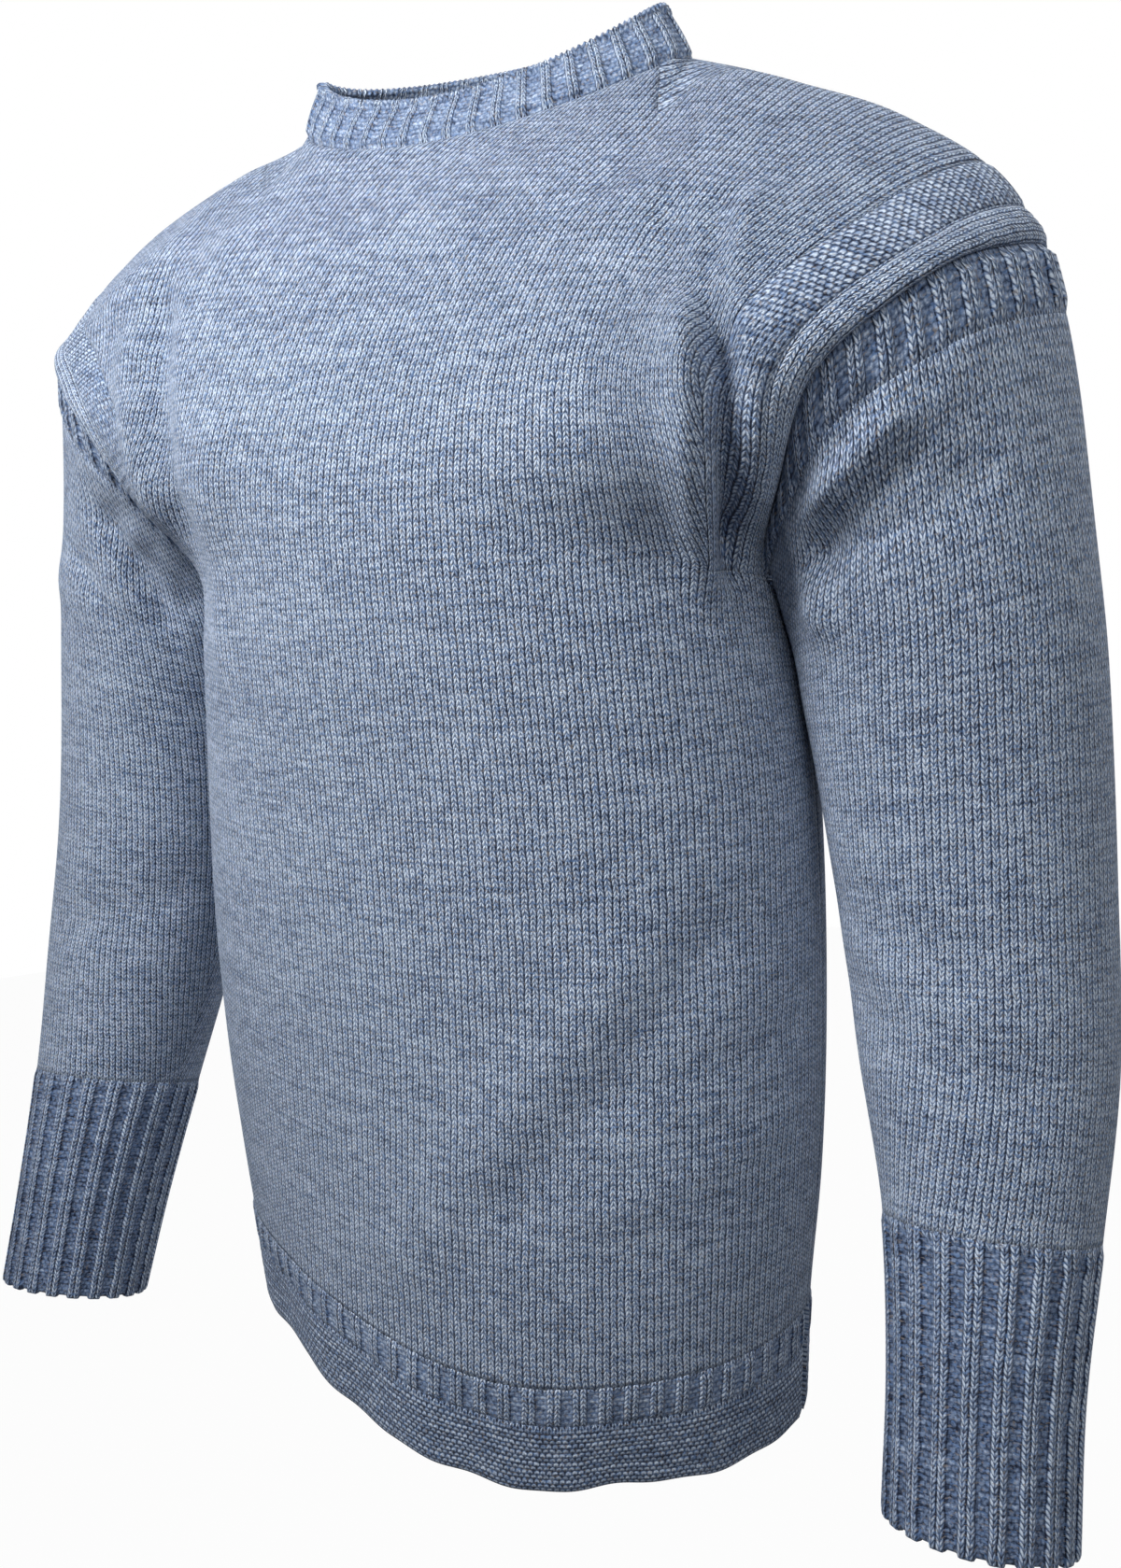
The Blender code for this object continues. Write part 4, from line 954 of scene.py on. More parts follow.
@dataclass
class Piece:
    """A knitted piece: a closed shell between two grids."""

    name: str
    wool: Wool
    slot: str
    flat: Pair
    area: Optional[float] = None
    held: str = "stretched"

    def grids(self) -> Cloth:
        """The piece's grids."""
        raise NotImplementedError

    def mesh(self, cloth: Cloth) -> bpy.types.Mesh:
        """Closed shell between the two grids, with the stitches as its UV map."""
        rows, cols = cloth.outer.shape[:2]
        wide = cols if cloth.ring else cols - 1
        cells = np.ones((rows - 1, wide), bool) if cloth.cells is None else cloth.cells
        r, c = np.nonzero(cells)
        d = (c + 1) % cols
        quads = np.stack([r * cols + c, r * cols + d, (r + 1) * cols + d, (r + 1) * cols + c], axis=1)
        corners = [(r, c), (r, c + 1), (r + 1, c + 1), (r + 1, c)]
        marks = np.stack([np.stack([cloth.u[i, j], cloth.v[i, j]], -1) for i, j in corners], axis=1)
        count = rows * cols
        starts = np.concatenate([quads[:, k] for k in range(4)])
        ends = np.concatenate([quads[:, (k + 1) % 4] for k in range(4)])
        start_marks = np.concatenate([marks[:, k] for k in range(4)])
        end_marks = np.concatenate([marks[:, (k + 1) % 4] for k in range(4)])
        keys = starts.astype(np.int64) * count + ends
        rim = ~np.isin(keys, ends.astype(np.int64) * count + starts)
        a, b, ma, mb = starts[rim], ends[rim], start_marks[rim], end_marks[rim]
        walls = np.stack([b, a, a + count, b + count], axis=1)
        wall_marks = np.stack([mb, ma, ma, mb], axis=1)
        faces = np.concatenate([quads, quads[:, ::-1] + count, walls])
        chart = np.concatenate([marks, marks[:, ::-1], wall_marks])
        points = np.concatenate([cloth.outer.reshape(-1, 3), cloth.inner.reshape(-1, 3)])
        used, index = np.unique(faces, return_inverse=True)
        faces = index.reshape(faces.shape)
        points = points[used]
        clear = np.ones(count) if cloth.clear is None else cloth.clear.ravel()
        clear = np.tile(clear, 2)[used]
        t = points[faces]
        if np.einsum("ij,ij->i", t[:, 0], np.cross(t[:, 1], t[:, 2])).sum() < 0:
            faces, chart = faces[:, ::-1], chart[:, ::-1]
        mesh = bpy.data.meshes.new(self.name)
        mesh.vertices.add(len(points))
        mesh.vertices.foreach_set("co", points.astype(np.float32).ravel())
        mesh.loops.add(faces.size)
        mesh.loops.foreach_set("vertex_index", faces.astype(np.int32).ravel())
        mesh.polygons.add(len(faces))
        mesh.polygons.foreach_set("loop_start", np.arange(0, faces.size, 4, dtype=np.int32))
        mesh.uv_layers.new(name="stitches")
        mesh.uv_layers["stitches"].data.foreach_set("uv", chart.astype(np.float32).ravel())
        mesh.attributes.new("clear", "FLOAT", "POINT").data.foreach_set("value", clear.astype(np.float32))
        mesh.update(calc_edges=True)
        mesh.validate()
        mesh.polygons.foreach_set("use_smooth", np.ones(len(mesh.polygons), bool))
        return mesh

    def build(self) -> bpy.types.Object:
        cloth = self.grids()
        mesh = self.mesh(cloth)
        if self.wool.name not in MADE:
            MADE[self.wool.name] = self.wool.make()
        mesh.materials.append(MADE[self.wool.name])
        made = bpy.data.objects.new(f"knit_{self.name}", mesh)
        bpy.context.scene.collection.objects.link(made)
        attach(made, "root")
        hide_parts(self.name)
        LOG.info("%s: %d faces", made.name, len(mesh.polygons))
        return made


def shell(points: Array, normals: Array, part: str, mirror: bool, wall: float, relief: Array,
          share: "float | Array" = 1.0) -> Arrays:
    """Outer and inner places: creases and relief first, then the wall, then the stance.

    Args:
        points, normals: the smooth surface of the +X side.
        part: whose creases it takes.
        mirror: whether the piece is the wearer's right one.
        wall: thickness.
        relief: how far the outer face stands proud.
        share: how much of the creases it takes.

    Returns:
        The outer places and the inner ones.
    """
    flip = np.array([-1.0, 1.0, 1.0]) if mirror else np.ones(3)
    p, n = points * flip, normals * flip
    folds = (CREASED.depth(p, part) * share)[..., None]
    outer = p + n * (folds + relief[..., None])
    inner = p + n * (folds - wall)
    return STANCE.settle(outer), STANCE.settle(inner)


def dip(distance: Array, reach: float = 0.0030, depth: float = 0.0009) -> Array:
    """Groove that the cloth sinks into beside a seam, by the distance from it."""
    return -depth * (1 - smooth(0.0, reach, distance))


def gusset_cut(w: Array) -> Array:
    """Share of the yoke's height that the neck gusset takes from the top of a wale."""
    return np.interp(w, [NECK_GUSSET_IN, NECK_SHARE, NECK_GUSSET_OUT], [0.0, NOTCH, 0.0])


def hands(w: Array) -> Array:
    """Factors that turn places of the +X half to the side on which each wale lies."""
    hand = np.ones(w.shape + (3,))
    hand[..., 0] = np.where(w < 0, -1.0, 1.0)
    return hand


def row_lengths(places: Array) -> Array:
    """Lengths along each row of places, counted from its middle column."""
    steps = np.linalg.norm(np.diff(places, axis=1), axis=-1)
    along = np.concatenate([np.zeros((len(places), 1)), np.cumsum(steps, axis=1)], axis=1)
    middle = places.shape[1] // 2
    return along - along[:, middle:middle + 1]


def ridges(distance: Array, pitch: float, shift: float = 0.0) -> Array:
    """Even round ridges, 0 to 1, one to every pitch."""
    return 0.5 + 0.5 * np.cos(2 * math.pi * distance / pitch + shift)


def bell(distance: Array, middle: float, width: float) -> Array:
    """1 at the middle, fading out on both sides of it."""
    return np.exp(-(((distance - middle) / width) ** 2))


@dataclass
class Panel(Piece):
    """Front or back of the body, between the hem's ribs, the bands and the neck."""

    side: int = -1
    wide: int = 150
    low_step: float = 0.0031
    yoke_rows: int = 78
    side_cells: int = 20
    lean: float = 0.0                           # wales by which the yoke's wales lean at its top
    crowded: float = 0.65                       # how much clearer the wales are where they crowd
    crowd_levels: Pair = (0.35, 0.95)
    gauge_levels: Tuple[float, ...] = (0.06, 0.36, UNDERARM)
    gauges: Tuple[float, ...] = (0.0038, 0.0038, 0.0037)
    tucked_from: float = 0.66                   # share of the way out at which wales go into the crease
    taller: float = 0.35                        # how much taller the courses are at the shoulder
    seam_rope: Triple = (0.0018, 0.007, 0.0035)     # height, place and width
    seam_wide: float = 0.004
    seam_deep: float = 0.0010
    beside_band: float = 0.6                    # share of a seam's depth there is beside a band
    beside_gusset: float = 0.2                  # and beside the neck gusset

    def grids(self) -> Cloth:
        """Rows up the cloth; above the underarm the columns end at the garter bands."""
        side = self.side
        start = WELT_HIGH + HEM_RIB_HIGH - SEAM_LAP
        count = int((UNDERARM - start) / self.low_step)
        low = np.linspace(start, YOKE_START, count)
        levels = np.linspace(0.0, 1.0, self.yoke_rows)
        edge = BODY.wale_inside(UNDERARM + YOKE * levels, side, BAND_WIDE - SEAM_LAP)
        share = np.linspace(-1, 1, self.wide + 1)
        for corner in (NECK_GUSSET_IN, NECK_SHARE, NECK_GUSSET_OUT):
            place = corner / edge[-1]
            for hand in (-place, place):
                share[int(np.argmin(np.abs(share - hand)))] = hand
        rows_w, rows_h, rows_plain = [], [], []
        for h in low:
            reach = BODY.side_wale[side]
            if h > UNDERARM - GUSSET_DEEP:
                reach = float(BODY.underarm_reach(h, side))
            reach += SIDE_LAP
            beyond = np.linspace(edge[0], reach, self.side_cells + 1)[1:]
            rows_w.append(np.concatenate([-beyond[::-1], share * edge[0], beyond]))
            rows_h.append(np.full(len(rows_w[-1]), h))
            rows_plain.append(rows_h[-1])
        flat = np.ones(self.side_cells)
        for v, far in zip(levels[1:], edge[1:]):
            top = 1.0 - gusset_cut(np.abs(share) * edge[-1])
            rows_w.append(np.concatenate([-far * flat, share * far, far * flat]))
            rows_h.append(UNDERARM + YOKE * v * np.concatenate([flat, top, flat]))
            rows_plain.append(np.full(len(rows_w[-1]), UNDERARM + YOKE * v))
        w, h, plain = np.array(rows_w), np.array(rows_h), np.array(rows_plain)
        cells = np.ones((len(w) - 1, w.shape[1] - 1), bool)
        cells[count - 1:, :self.side_cells] = False
        cells[count - 1:, -self.side_cells:] = False
        points = BODY.points(w, h, side)
        normals = BODY.normals(w, np.where(np.abs(h - UNDERARM) < 0.001, UNDERARM, h), side)
        hand = hands(w)
        u, v = self.stitches(BODY.points(w, plain, side) * hand, w, plain)
        for column in np.nonzero(h[-1] < plain[-1])[0]:
            u[:, column] = np.interp(h[:, column], plain[:, column], u[:, column])
            v[:, column] = np.interp(h[:, column], plain[:, column], v[:, column])
        relief = self.relief(w, h, edge, levels)
        outer, inner = shell(points * hand, normals * hand, "body", False, WALL, relief)
        clear = 1.0 + self.crowded * smooth(*(UNDERARM + share * YOKE for share in self.crowd_levels), h)
        return Cloth(outer, inner, u, v, cells, clear=clear)

    def stitches(self, places: Array, w: Array, h: Array) -> Arrays:
        """Stitch chart of the panel.

        Args:
            places: the cloth before creases.
            w: wales.
            h: heights up the cloth.

        Returns:
            Wales counted out from the middle and courses counted up from the hem.
        """
        along = row_lengths(places)
        up = np.maximum((h[:, 0] - UNDERARM) / YOKE, 0.0)
        inside = along[:, -1 - self.side_cells]
        counts = cubic(YOKE_WALES, up)
        low = np.interp(h[:, 0], self.gauge_levels, self.gauges)
        gauge = np.where(up > 0.002, inside / counts[:, 0], low)[:, None]
        share = np.clip(along / inside[:, None], -1.0, 1.0)
        tucked = np.sign(share) * smooth(self.tucked_from, 1.0, np.abs(share)) * counts[:, 1:]
        u = along / gauge + tucked - self.lean * up[:, None] ** 2 * (1.0 - 0.4 * smooth(0.0, 1.0, share))
        rises = np.linalg.norm(np.diff(places, axis=0), axis=-1)
        rises = rises / (COURSE * (1.0 + self.taller * smooth(0.35, 1.0, up)))[1:, None]
        v = np.concatenate([np.zeros((1, w.shape[1])), np.cumsum(rises, axis=0)])
        return u, v + self.lean * 0.7 * up[:, None] ** 2 * np.tanh(along / 0.1)

    def relief(self, w: Array, h: Array, edge: Array, levels: Array) -> Array:
        """Grooves beside the bands, the neck and the shoulder lines, and on the back a raised rope just below
        the shoulder line.
        """
        far = np.interp((h - UNDERARM) / YOKE, levels, edge)
        upper = smooth(UNDERARM - self.seam_wide, UNDERARM + self.seam_wide, h)
        relief = dip((far - np.abs(w)) * HALF_ROW * BULGE) * upper * self.beside_band
        top = UNDERARM + YOKE * (1.0 - gusset_cut(np.abs(w)))
        notched = gusset_cut(np.abs(w)) > 0.001
        relief += dip(top - h, self.seam_wide, self.seam_deep) * np.where(notched, self.beside_gusset, 1.0)
        if self.side > 0:
            outer = smooth(NECK_GUSSET_OUT - 0.02, NECK_GUSSET_OUT + 0.02, np.abs(w))
            high, place, width = self.seam_rope
            relief += high * outer * bell(top - h, place, width)
        return relief


@dataclass
class Band(Piece):
    """Strip of the yoke along the armhole, from the front of the underarm over to the back."""

    mirror: bool = False
    start: float = BAND_WIDE
    end: float = EDGE_BAND
    along: int = 150
    cells: int = 14
    firm: Pair = (1.0, 0.4)             # share of the creases it takes, on its two sides
    firm_ends: Pair = (0.004, 0.040)    # but near its ends it takes them whole
    flat_ends: float = 0.045            # it rises over this way from its ends
    clear_ends: Pair = (0.07, 0.17)     # and its stitches turn clear over this one
    lean_from: float = 0.6              # share of its width from which it leans into the armhole's mitre

    def profile(self, inward: Array, far: Array) -> Array:
        """How far the strip stands proud, by the distance from its two sides."""
        raise NotImplementedError

    def grids(self) -> Cloth:
        """A row for each height up the front and down the back."""
        up = UNDERARM + YOKE * np.linspace(0.0, 1.0, self.along)
        up[0] = YOKE_START - SEAM_LAP
        stations = [(h, -1) for h in up] + [(h, 1) for h in up[-2::-1]]
        near = {side: BODY.wale_inside(up, side, max(self.end - SEAM_LAP, 0.0)) for side in (-1, 1)}
        far = {side: BODY.wale_inside(up, side, self.start + SEAM_LAP) for side in (-1, 1)}
        points, normals = [], []
        for h, side in stations:
            i = int(np.argmin(np.abs(up - h)))
            w = np.linspace(far[side][i], near[side][i], self.cells + 1)
            points.append(BODY.points(w, h, side))
            n = BODY.normals(w, max(h, UNDERARM), side)
            if self.end <= 0 and h > UNDERARM + 0.001:
                turn = SLEEVE.turn_of(h, side)
                lean = smooth(self.lean_from, 1.0, np.linspace(0, 1, self.cells + 1))[:, None]
                n = n * (1 - lean) + SLEEVE.mitre(turn) * lean
            normals.append(n)
        points, normals = np.array(points), np.array(normals)
        wide = self.start - self.end
        run = along_of(points[:, self.cells // 2])[:, None]
        across, run = np.broadcast_arrays(np.linspace(0, wide, self.cells + 1)[None, :], run)
        ends = np.minimum(run, run[-1] - run)
        relief = self.profile(across, run) * smooth(0.0, self.flat_ends, ends)
        share = self.firm[0] + (self.firm[1] - self.firm[0]) * smooth(0.0, 1.0, across / wide)
        share = 1 - (1 - share) * smooth(*self.firm_ends, ends)
        outer, inner = shell(points, normals, "body", self.mirror, WALL, relief, share)
        u, v = self.chart(across, run)
        return Cloth(outer, inner, -u if self.mirror else u, v, clear=smooth(*self.clear_ends, ends))

    def chart(self, across: Array, run: Array) -> Arrays:
        """Stitches of the strip: wales across it, courses along it."""
        return across / WALE + 0.5, run / COURSE


@dataclass
class GarterBand(Band):
    """Ridged strip."""

    along: int = 210
    pitch: float = 0.0064               # one ridge takes two rows of humps
    hump: Pair = (0.0036, 0.0032)       # width and height of a hump
    sunk: float = 0.0005
    base: float = 0.0004
    ridge: float = 0.0005
    rounding: float = 0.004

    def profile(self, across: Array, run: Array) -> Array:
        """Low ridges across the strip, sunk at both sides."""
        wide = self.start - self.end
        sides = smooth(0.0, self.rounding, across) * smooth(0.0, self.rounding, wide - across)
        return -self.sunk + sides * (self.base + self.ridge * ridges(run, self.pitch))

    def chart(self, across: Array, run: Array) -> Arrays:
        """Humps counted across the strip and rows of them along it."""
        return across / self.hump[0], run / self.hump[1]


@dataclass
class EdgeBand(Band):
    """Raised plain strip, rounded over towards the armhole's seam."""

    end: float = 0.0
    start: float = EDGE_BAND
    cells: int = 22
    firm: Pair = (0.4, 0.4)
    sunk: float = 0.0008
    roll: float = 0.0014
    sides: Pair = (0.22, 0.82)          # shares of its width where the roll stops rising, and falls
    crown: Triple = (0.0011, 0.60, 0.26)    # height, place and width
    lines: float = 0.0003

    def profile(self, across: Array, run: Array) -> Array:
        """A soft roll that is highest near the seam."""
        t = across / (self.start - self.end)
        roll = smooth(0.0, self.sides[0], t) * (1 - smooth(self.sides[1], 1.0, t))
        high, place, width = self.crown
        proud = -self.sunk + self.roll * roll + high * bell(t, place, width)
        return proud - self.lines * ridges(across, WALE) * roll


@dataclass
class Tube(Piece):
    """Part of a sleeve, all round or up to the underarm gusset."""

    mirror: bool = False
    top: float = 0.0
    bottom: float = HEAD_RIB
    rows: int = 10
    columns: int = 300
    tuck: float = 0.01      # turn by which it runs under the underarm gusset
    fade: float = 0.005     # its knitting turns plain over this way at its lower end

    def ways(self) -> Array:
        """Ways down the sleeve of the rows."""
        return np.linspace(self.top - SEAM_LAP if self.top else 0.0, self.bottom + SEAM_LAP, self.rows)

    def turns(self, s: float) -> Array:
        """Turns of a row's columns, from the back of the gusset round the outside to its front."""
        limit = SLEEVE.limit(s)
        t = np.linspace(-1, 1, self.columns + 1)
        return t * np.where(t < 0, math.pi - limit[1] + self.tuck, math.pi - limit[-1] + self.tuck)

    def relief(self, turn: Array, s: Array, u: Array) -> Array:
        """How far the tube stands proud."""
        return np.zeros(turn.shape)

    def grids(self) -> Cloth:
        """Rows of turns at each way down."""
        ways = self.ways()
        turn = np.array([self.turns(s) for s in ways])
        s = np.broadcast_to(ways[:, None], turn.shape).copy()
        places = SLEEVE.points(turn, s)
        u = row_lengths(places) / WALE * (1.0 if self.mirror else -1.0)
        relief = self.relief(turn, s, u)
        outer, inner = shell(places, SLEEVE.normals(turn, s), "sleeve", self.mirror, WALL, relief)
        return Cloth(outer, inner, u, s / COURSE, clear=1 - smooth(self.bottom - self.fade, self.bottom, s))


def rib_wave(u: Array, knit: float = 0.58, slope: float = 0.06, groove: float = 0.16) -> Array:
    """Cross-section of two by two ribbing.

    Args:
        u: wales.
        knit: share of a repeat that is knit.
        slope: half the share that each side of a rib takes.
        groove: depth of the groove between the two wales of a rib.

    Returns:
        0 in the purl valleys and 1 on the knit ribs.
    """
    t = np.mod(u / RIB_COUNT, 1.0)
    start = slope / 2
    rib = smooth(-start, 2 * slope - start, t) * (1 - smooth(knit - slope, knit + slope, t))
    rib += smooth(1 - start, 1 + 2 * slope - start, t)
    return np.clip(rib, 0, 1) - groove * bell(t, knit / 2, 0.035)


@dataclass
class HeadRib(Tube):
    """Ribbing at the head of the sleeve."""

    columns: int = 420
    rows: int = 13
    high: float = 0.0024
    groove: float = 0.0016      # depth of the armhole's seam
    seam: float = 0.004         # and its width
    dies_out: float = 0.006
    sunk: float = 0.0004

    def relief(self, turn: Array, s: Array, u: Array) -> Array:
        """Ribs that start in the armhole's groove and die out in the plain sleeve."""
        risen = smooth(0.0, self.seam, s)
        strong = risen * (1 - smooth(HEAD_RIB - self.dies_out, HEAD_RIB, s))
        return rib_wave(u) * self.high * strong - self.groove * (1 - risen) - self.sunk


@dataclass
class SleeveTube(Tube):
    """Plain part of the sleeve."""

    top: float = HEAD_RIB
    bottom: float = CUFF_TOP
    rows: int = 122
    columns: int = 150


@dataclass
class Cuff(Tube):
    """Long ribbed cuff."""

    top: float = CUFF_TOP
    bottom: float = CUFF_END
    rows: int = 56
    columns: int = 320
    ribs: int = 21
    depth: float = 0.0021
    rise: float = 0.006             # the ribs rise out of the sleeve over this way
    mean: float = 0.45              # height in a rib's cross-section that lies on the form
    end_rows: Tuple[float, ...] = (0.0045, 0.0030, 0.0018, 0.0008, 0.0)     # ways up from the edge
    scallop: float = 0.0026         # how far the ribs reach below the valleys at the edge
    scalloped: float = 0.012        # over this way
    thin_edge: Pair = (0.0035, 0.0010)       # way up from the edge, and how much thinner

    def ways(self) -> Array:
        """Rows down to the cast-off edge, closer together there."""
        plain = np.linspace(self.top - SEAM_LAP, self.bottom - 0.006, self.rows - len(self.end_rows))
        return np.concatenate([plain, self.bottom - np.array(self.end_rows)])

    def turns(self, s: float) -> Array:
        """Columns all the way round, less the closing one."""
        return np.linspace(-math.pi, math.pi, self.columns + 1)

    def grids(self) -> Cloth:
        """A ring: its last column is its first, so the ribs are counted by turn."""
        ways = self.ways()
        turn = np.broadcast_to(self.turns(0.0), (len(ways), self.columns + 1))
        s = np.broadcast_to(ways[:, None], turn.shape)
        u = (turn / (2 * math.pi) + 0.5) * self.ribs * RIB_COUNT * (1.0 if self.mirror else -1.0)
        reach = s + smooth(self.bottom - self.scalloped, self.bottom, s) * (rib_wave(u) - 0.5) * self.scallop
        places = SLEEVE.points(turn, reach)
        normals = SLEEVE.normals(turn, reach)
        outer, inner = shell(places, normals, "sleeve", self.mirror, WALL, self.relief(turn, s, u))
        clear = smooth(self.top, self.top + self.rise, s[:, :-1])
        return Cloth(outer[:, :-1], inner[:, :-1], u, s / COURSE, ring=True, clear=clear)

    def relief(self, turn: Array, s: Array, u: Array) -> Array:
        """Deep ribs that rise out of the plain sleeve, and a thin cast-off edge."""
        strong = smooth(self.top, self.top + self.rise, s)
        edge = smooth(self.bottom - self.thin_edge[0], self.bottom, s)
        ribs = (rib_wave(u) - self.mean) * self.depth * strong * (1 - 0.3 * edge)
        return ribs - self.thin_edge[1] * edge**2


@dataclass
class UnderarmGusset(Piece):
    """Diamond under the arm, folded along the armhole."""

    mirror: bool = False
    columns: int = 16
    rows: Tuple[int, int] = (20, 29)        # on the body and on the sleeve
    sunk: float = 0.0004

    def grids(self) -> Cloth:
        """Rows up the body's half and on down the sleeve's half."""
        across = np.linspace(-1, 1, self.columns + 1)
        sides = np.where(across <= 0, -1, 1)
        points, normals = [], []
        body_rows = self.rows[0]
        for h in np.linspace(UNDERARM - GUSSET_DEEP, UNDERARM, body_rows + 1)[:-1]:
            row = []
            for c, side in zip(across, sides):
                full = BODY.side_wale[side]
                w = full - abs(c) * (full - float(BODY.underarm_reach(h, side)) + SIDE_LAP)
                row.append(BODY.both(w, h, side))
            points.append([place for place, _ in row])
            normals.append([normal for _, normal in row])
        for s in np.linspace(0.0, GUSSET_SLEEVE, self.rows[1]):
            limit = SLEEVE.limit(float(s))
            turn = np.array([math.pi + c * limit[side] for c, side in zip(across, sides)])
            points.append(SLEEVE.points(turn, np.full(len(turn), s)))
            normals.append(SLEEVE.normals(turn, np.full(len(turn), s)))
        points, normals = np.array(points), np.array(normals)
        relief = np.full(points.shape[:2], -self.sunk)
        low, high = (
            shell(points[rows], normals[rows], part, self.mirror, WALL, relief[rows])
            for rows, part in ((slice(None, body_rows), "body"), (slice(body_rows, None), "sleeve"))
        )
        run = along_of(points[:, self.columns // 2])
        wide = np.linalg.norm(points[:, -1] - points[:, 0], axis=-1)
        u = across[None, :] * wide[:, None] * 0.5 / WALE
        v = np.broadcast_to(run[:, None] / COURSE, u.shape)
        return Cloth(np.concatenate([low[0], high[0]]), np.concatenate([low[1], high[1]]), u, v)


@dataclass
class NeckGusset(Piece):
    """Small triangle at the side of the neck, its point out along the shoulder."""

    mirror: bool = False
    lean: float = 72.0              # degrees by which its wales turn from the row
    columns: int = 24
    lap: float = 1.04               # it runs this much further than the notch
    tip: float = 0.985              # share of the way out at which it ends
    taller: float = 1.35            # its courses, to the plain ones
    clear: float = 1.65
    sunk: float = 0.0002

    def grids(self) -> Cloth:
        """Rows across the shoulder line, shorter and shorter."""
        points, normals = [], []
        deepest = (NECK_SHARE - NECK_GUSSET_IN) / (NECK_GUSSET_OUT - NECK_GUSSET_IN)
        for i in np.concatenate([np.linspace(0.0, deepest, 10), np.linspace(deepest, self.tip, 13)[1:]]):
            ridge = NECK_SHARE + (NECK_GUSSET_OUT - NECK_SHARE) * i
            edge_w = NECK_GUSSET_IN + (NECK_GUSSET_OUT - NECK_GUSSET_IN) * i
            edge_v = 1.0 - float(gusset_cut(edge_w))
            row = []
            for c in np.linspace(-self.lap, self.lap, self.columns + 1):
                h = UNDERARM + YOKE * (1.0 + (edge_v - 1.0) * abs(c))
                row.append(BODY.both(ridge + (edge_w - ridge) * abs(c), h, -1 if c <= 0 else 1))
            points.append([place for place, _ in row])
            normals.append([normal for _, normal in row])
        points, normals = np.array(points), np.array(normals)
        relief = np.full(points.shape[:2], -self.sunk)
        outer, inner = shell(points, normals, "body", self.mirror, WALL, relief)
        wide = np.array([along_of(row)[-1] for row in points])
        forward = np.linspace(0.5, -0.5, self.columns + 1)[None, :] * wide[:, None]
        out = np.broadcast_to(along_of(points[:, self.columns // 2])[:, None], forward.shape)
        lean = math.radians(self.lean)
        u = (math.sin(lean) * out + math.cos(lean) * forward) / WALE
        v = (math.cos(lean) * out - math.sin(lean) * forward) / (COURSE * self.taller)
        return Cloth(outer, inner, u, v, clear=np.full(u.shape, self.clear))


@dataclass
class Collar(Piece):
    """Ribbed ring from the neck seam to its rolled cast-off edge. Levels are shares of its height."""

    ribs: int = 40
    columns: int = 640
    rows: int = 18
    height: float = 0.030
    wall: float = 0.0034
    knit: float = 0.44                  # share of a rib's repeat that is knit
    rib_high: float = 0.0016
    roll_high: float = 0.0026           # how far the cast-off roll stands proud outside
    roll_inside: float = 0.0014         # and inside
    roll_place: Pair = (0.93, 0.085)
    roll_span: Pair = (0.75, 0.55)
    roll_rows: Tuple[float, ...] = (0.85, 0.89, 0.93, 0.97, 1.0, 1.02)
    rib_levels: Pair = (0.80, 0.88)
    seam_level: float = 0.10
    seam_deep: float = 0.0012
    belly: float = 0.0012
    closing: Four = (0.97, 1.02, 0.0022, 0.0026)   # levels, outside, inside
    knot_rise: float = 0.030

    def seat(self) -> Arrays:
        """Places of the neck seam and of the edge above it, all the way round."""
        a = np.linspace(0, 4, self.columns + 1)
        quadrant = np.minimum(a.astype(int), 3)
        t = a - quadrant
        share = np.where(quadrant % 2 == 0, t, 1 - t)
        rings = [[BODY.neck_quarter(ring, -1 if q in (0, 3) else 1, x) * [1.0 if q < 2 else -1.0, 1, 1]
                  for q, x in zip(quadrant, share)] for ring in (NECK_SEAM, NECK_EDGE)]
        return np.array(rings[0]), np.array(rings[1])

    def grids(self) -> Cloth:
        """Rows from the seam up over the rolled edge."""
        low, high = self.seat()
        run = along_of(low)
        u = run / run[-1] * self.ribs * RIB_COUNT
        rise = high - low
        around = np.roll(low[:-1], -1, axis=0) - np.roll(low[:-1], 1, axis=0)
        around = np.concatenate([around, around[:1]])
        normal = unit(np.cross(around, unit(rise)))
        normal *= np.sign((normal * (low - low.mean(axis=0))).sum(axis=1))[:, None]
        up = np.concatenate([np.linspace(-0.05, 0.80, self.rows - len(self.roll_rows)), self.roll_rows])
        wave = rib_wave(u, self.knit)
        knots = 0.5 + 0.5 * np.cos(2 * math.pi * u + 0.9 * np.sin(u * 0.37))
        outer, inner = [], []
        for x in up:
            roll = bell(x, *self.roll_place) * (self.roll_span[0] + self.roll_span[1] * knots)
            ribs = wave * (1 - smooth(*self.rib_levels, x)) * smooth(-0.02, self.seam_level, x)
            closing = smooth(*self.closing[:2], x)
            out = self.rib_high * ribs + self.roll_high * roll
            out += self.belly * np.sin(math.pi * np.clip(x, 0, 1))
            out -= self.seam_deep * (1 - smooth(0.0, self.seam_level, x)) + self.closing[2] * closing
            back = -self.wall - self.roll_inside * roll + self.closing[3] * closing
            place = low + rise * (x + self.knot_rise * (knots - 0.5) * smooth(0.85, 1.0, x))[:, None]
            outer.append(place + normal * np.broadcast_to(out, u.shape)[:, None])
            inner.append(place + normal * np.broadcast_to(back, u.shape)[:, None])
        outer, inner = (STANCE.settle(np.array(face))[:, :-1] for face in (outer, inner))
        v = np.broadcast_to(up[:, None] * self.height / COURSE, (len(up), len(u)))
        return Cloth(outer, inner, np.broadcast_to(u, v.shape), v, ring=True)


